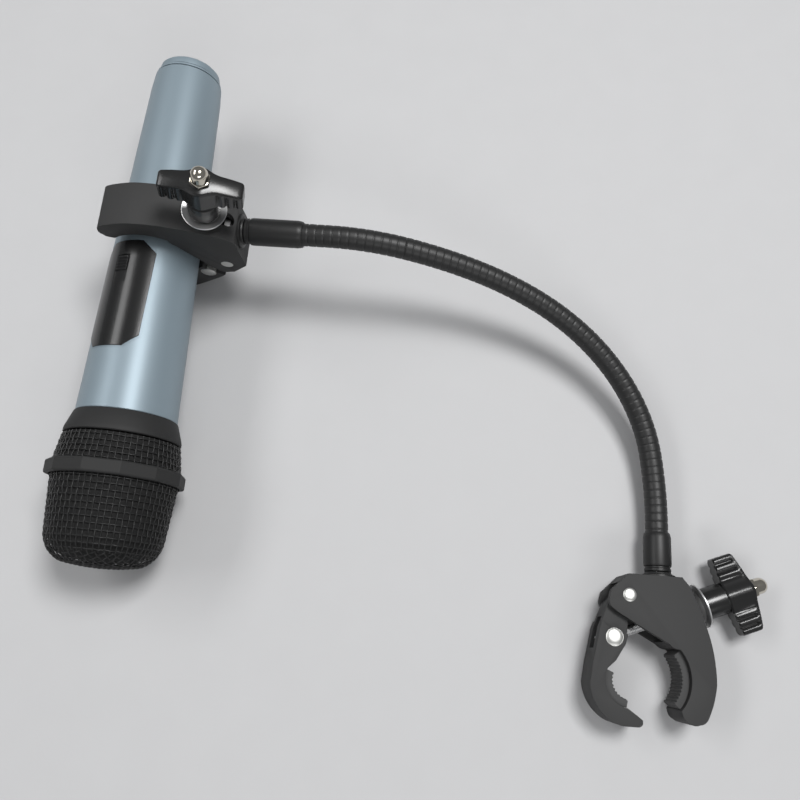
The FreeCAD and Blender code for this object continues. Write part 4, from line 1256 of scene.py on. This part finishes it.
class CLAMPMIC_OT_grille(bpy.types.Operator):
    """Woven wire baskets, the faceted band between them and the foam inside"""
    bl_idname = "clampmic.grille"
    bl_label = "Grille"

    def execute(self, context):
        sizes = context.scene.clamp_mic_sizes
        place, pitch, wire = mic_axes(), sizes.wire_pitch / MM, sizes.wire_radius / MM
        for name, low, high, node in (("lower_weave", BAND_HIGH - 0.6, CROWN_EDGE, "lower_basket"),
                                      ("upper_weave", HEAD_JOINT + 0.55, BAND_LOW + 0.6, "upper_basket")):
            runs = side_weave(low, high, pitch, wire, sizes.spokes)
            if node == "lower_basket":
                runs += crown_weave(CROWN_EDGE - 0.3, pitch, wire)
            wires(name, runs, wire, place, "grille", "mesh_black", [node], 1)
        build_band(place)
        foam = [(21.4, HEAD_JOINT + 0.6), (22.0, HEAD_JOINT + 0.6), (23.4, 184.0), (23.2, 190.0),
                (21.4, 211.5), (19.5, 216.0, 3.0), (13.6, 220.4), (0, 221.9), (0, 219.6), (12.4, 218.2),
                (18.0, 214.4), (19.2, 211.0), (21.0, 190.0), (21.4, 184.0)]
        add_piece("foam_lining", turned(foam, closed=False, steps=72), place, "grille", "foam",
                  ["foam_liner"])
        return {"FINISHED"}


# ---------------------------------------------------------------- carried-over parts and stage

class CLAMPMIC_OT_inner(bpy.types.Operator):
    """Finishes of the parts that keep their own shape"""
    bl_idname = "clampmic.inner"
    bl_label = "Inner Parts"

    def execute(self, context):
        for name, node in frame["nodes"].items():
            if not node.hide_render:
                node.data.materials.clear()
                node.data.materials.append(material(SLOTS[name]))
        return {"FINISHED"}


CAMERA_PLACE = Vector((-0.0985, 0.0051, 0.3343))
CAMERA_RIGHT = Vector((0.9973, 0.07295, 0.00892))
CAMERA_UP = Vector((-0.07229, 0.95183, 0.29797))
CAMERA_LENS = 35.1
FLOOR_GAP = 0.0002           # the floor lies this far under the part, in metres
WORLD_COLOUR = (0.9, 0.92, 0.95, 1.0)
WORLD_STRENGTH = 0.22
# Name, place, target, size and power
LAMPS = (("key_softbox", (0.22, 0.38, 1.2), (-0.2, 0.12, 0), (0.4, 0.4), 13.0),
         ("left_softbox", (-0.95, 0.25, 0.95), (-0.1, 0.08, 0), (0.9, 0.3), 5.0),
         ("front_softbox", (0.2, -0.95, 0.85), (-0.05, 0.05, 0), (0.9, 0.3), 4.0))


def add_lamp(name, location, target, size, power):
    lamp = bpy.data.lights.new(name, "AREA")
    lamp.shape = "RECTANGLE"
    lamp.size, lamp.size_y = size
    lamp.energy = power
    holder = bpy.data.objects.new(name, lamp)
    holder.location = location
    holder.rotation_euler = (Vector(target) - Vector(location)).to_track_quat("-Z", "Y").to_euler()
    bpy.context.scene.collection.objects.link(holder)


class CLAMPMIC_OT_stage(bpy.types.Operator):
    """Floor, soft lamps, plain world and camera"""
    bl_idname = "clampmic.stage"
    bl_label = "Stage"

    def execute(self, context):
        scene = context.scene
        bm = bmesh.new()
        bmesh.ops.create_grid(bm, x_segments=1, y_segments=1, size=4.0)
        mesh = bpy.data.meshes.new("floor")
        bm.to_mesh(mesh)
        bm.free()
        mesh.transform(Matrix.Translation((0, 0, CAD_BOX[0].z - FLOOR_GAP)))
        floor = bpy.data.objects.new("floor", mesh)
        scene.collection.objects.link(floor)
        paint = Finish("floor_paint", tuple(scene.clamp_mic_colours.floor), 0.75)
        paint.grain(260.0, 0.03 * MM, 0.03, 0.04)
        mesh.materials.append(paint.done())
        for lamp in LAMPS:
            add_lamp(*lamp)
        world = bpy.data.worlds.new("studio")
        world.use_nodes = True
        background = world.node_tree.nodes["Background"]
        background.inputs["Color"].default_value = WORLD_COLOUR
        background.inputs["Strength"].default_value = WORLD_STRENGTH
        scene.world = world
        scene.view_settings.view_transform = "Standard"
        camera = bpy.data.cameras.new("camera")
        camera.lens = CAMERA_LENS
        camera.sensor_width = 36.0
        camera.clip_start = 0.01
        holder = bpy.data.objects.new("camera", camera)
        turn = Matrix((CAMERA_RIGHT, CAMERA_UP, CAMERA_RIGHT.cross(CAMERA_UP))).transposed()
        holder.matrix_world = Matrix.Translation(CAMERA_PLACE) @ turn.to_4x4()
        scene.collection.objects.link(holder)
        scene.camera = holder
        return {"FINISHED"}


# ---------------------------------------------------------------- panel and registration

OPERATORS = (CLAMPMIC_OT_castings, CLAMPMIC_OT_screws, CLAMPMIC_OT_gooseneck, CLAMPMIC_OT_handle,
             CLAMPMIC_OT_panel, CLAMPMIC_OT_grille, CLAMPMIC_OT_inner, CLAMPMIC_OT_stage)
GROUPS = {"clamp_mic_sizes": MicSizes, "clamp_mic_clamps": ClampSizes, "clamp_mic_neck": NeckSizes,
          "clamp_mic_colours": Colours}


class CLAMPMIC_PT_builder(bpy.types.Panel):
    """Sizes, colours and build steps"""
    bl_label = "Clamp Microphone"
    bl_space_type = "VIEW_3D"
    bl_region_type = "UI"
    bl_category = "Clamp Mic"

    def draw(self, context):
        for name, group in GROUPS.items():
            box = self.layout.box()
            for prop in group.__annotations__:
                box.prop(getattr(context.scene, name), prop)
        for operator in OPERATORS:
            self.layout.operator(operator.bl_idname)


def register():
    for group in GROUPS.values():
        bpy.utils.register_class(group)
    for name, group in GROUPS.items():
        setattr(bpy.types.Scene, name, PointerProperty(type=group))
    for operator in OPERATORS:
        bpy.utils.register_class(operator)
    bpy.utils.register_class(CLAMPMIC_PT_builder)


def unregister():
    bpy.utils.unregister_class(CLAMPMIC_PT_builder)
    for operator in reversed(OPERATORS):
        bpy.utils.unregister_class(operator)
    for name in GROUPS:
        delattr(bpy.types.Scene, name)
    for group in GROUPS.values():
        bpy.utils.unregister_class(group)


def main():
    register()
    bpy.ops.clampmic.castings()
    bpy.ops.clampmic.screws()
    bpy.ops.clampmic.gooseneck()
    bpy.ops.clampmic.handle()
    bpy.ops.clampmic.panel()
    bpy.ops.clampmic.grille()
    bpy.ops.clampmic.inner()
    bpy.ops.clampmic.stage()


if __name__ == "__main__":
    main()
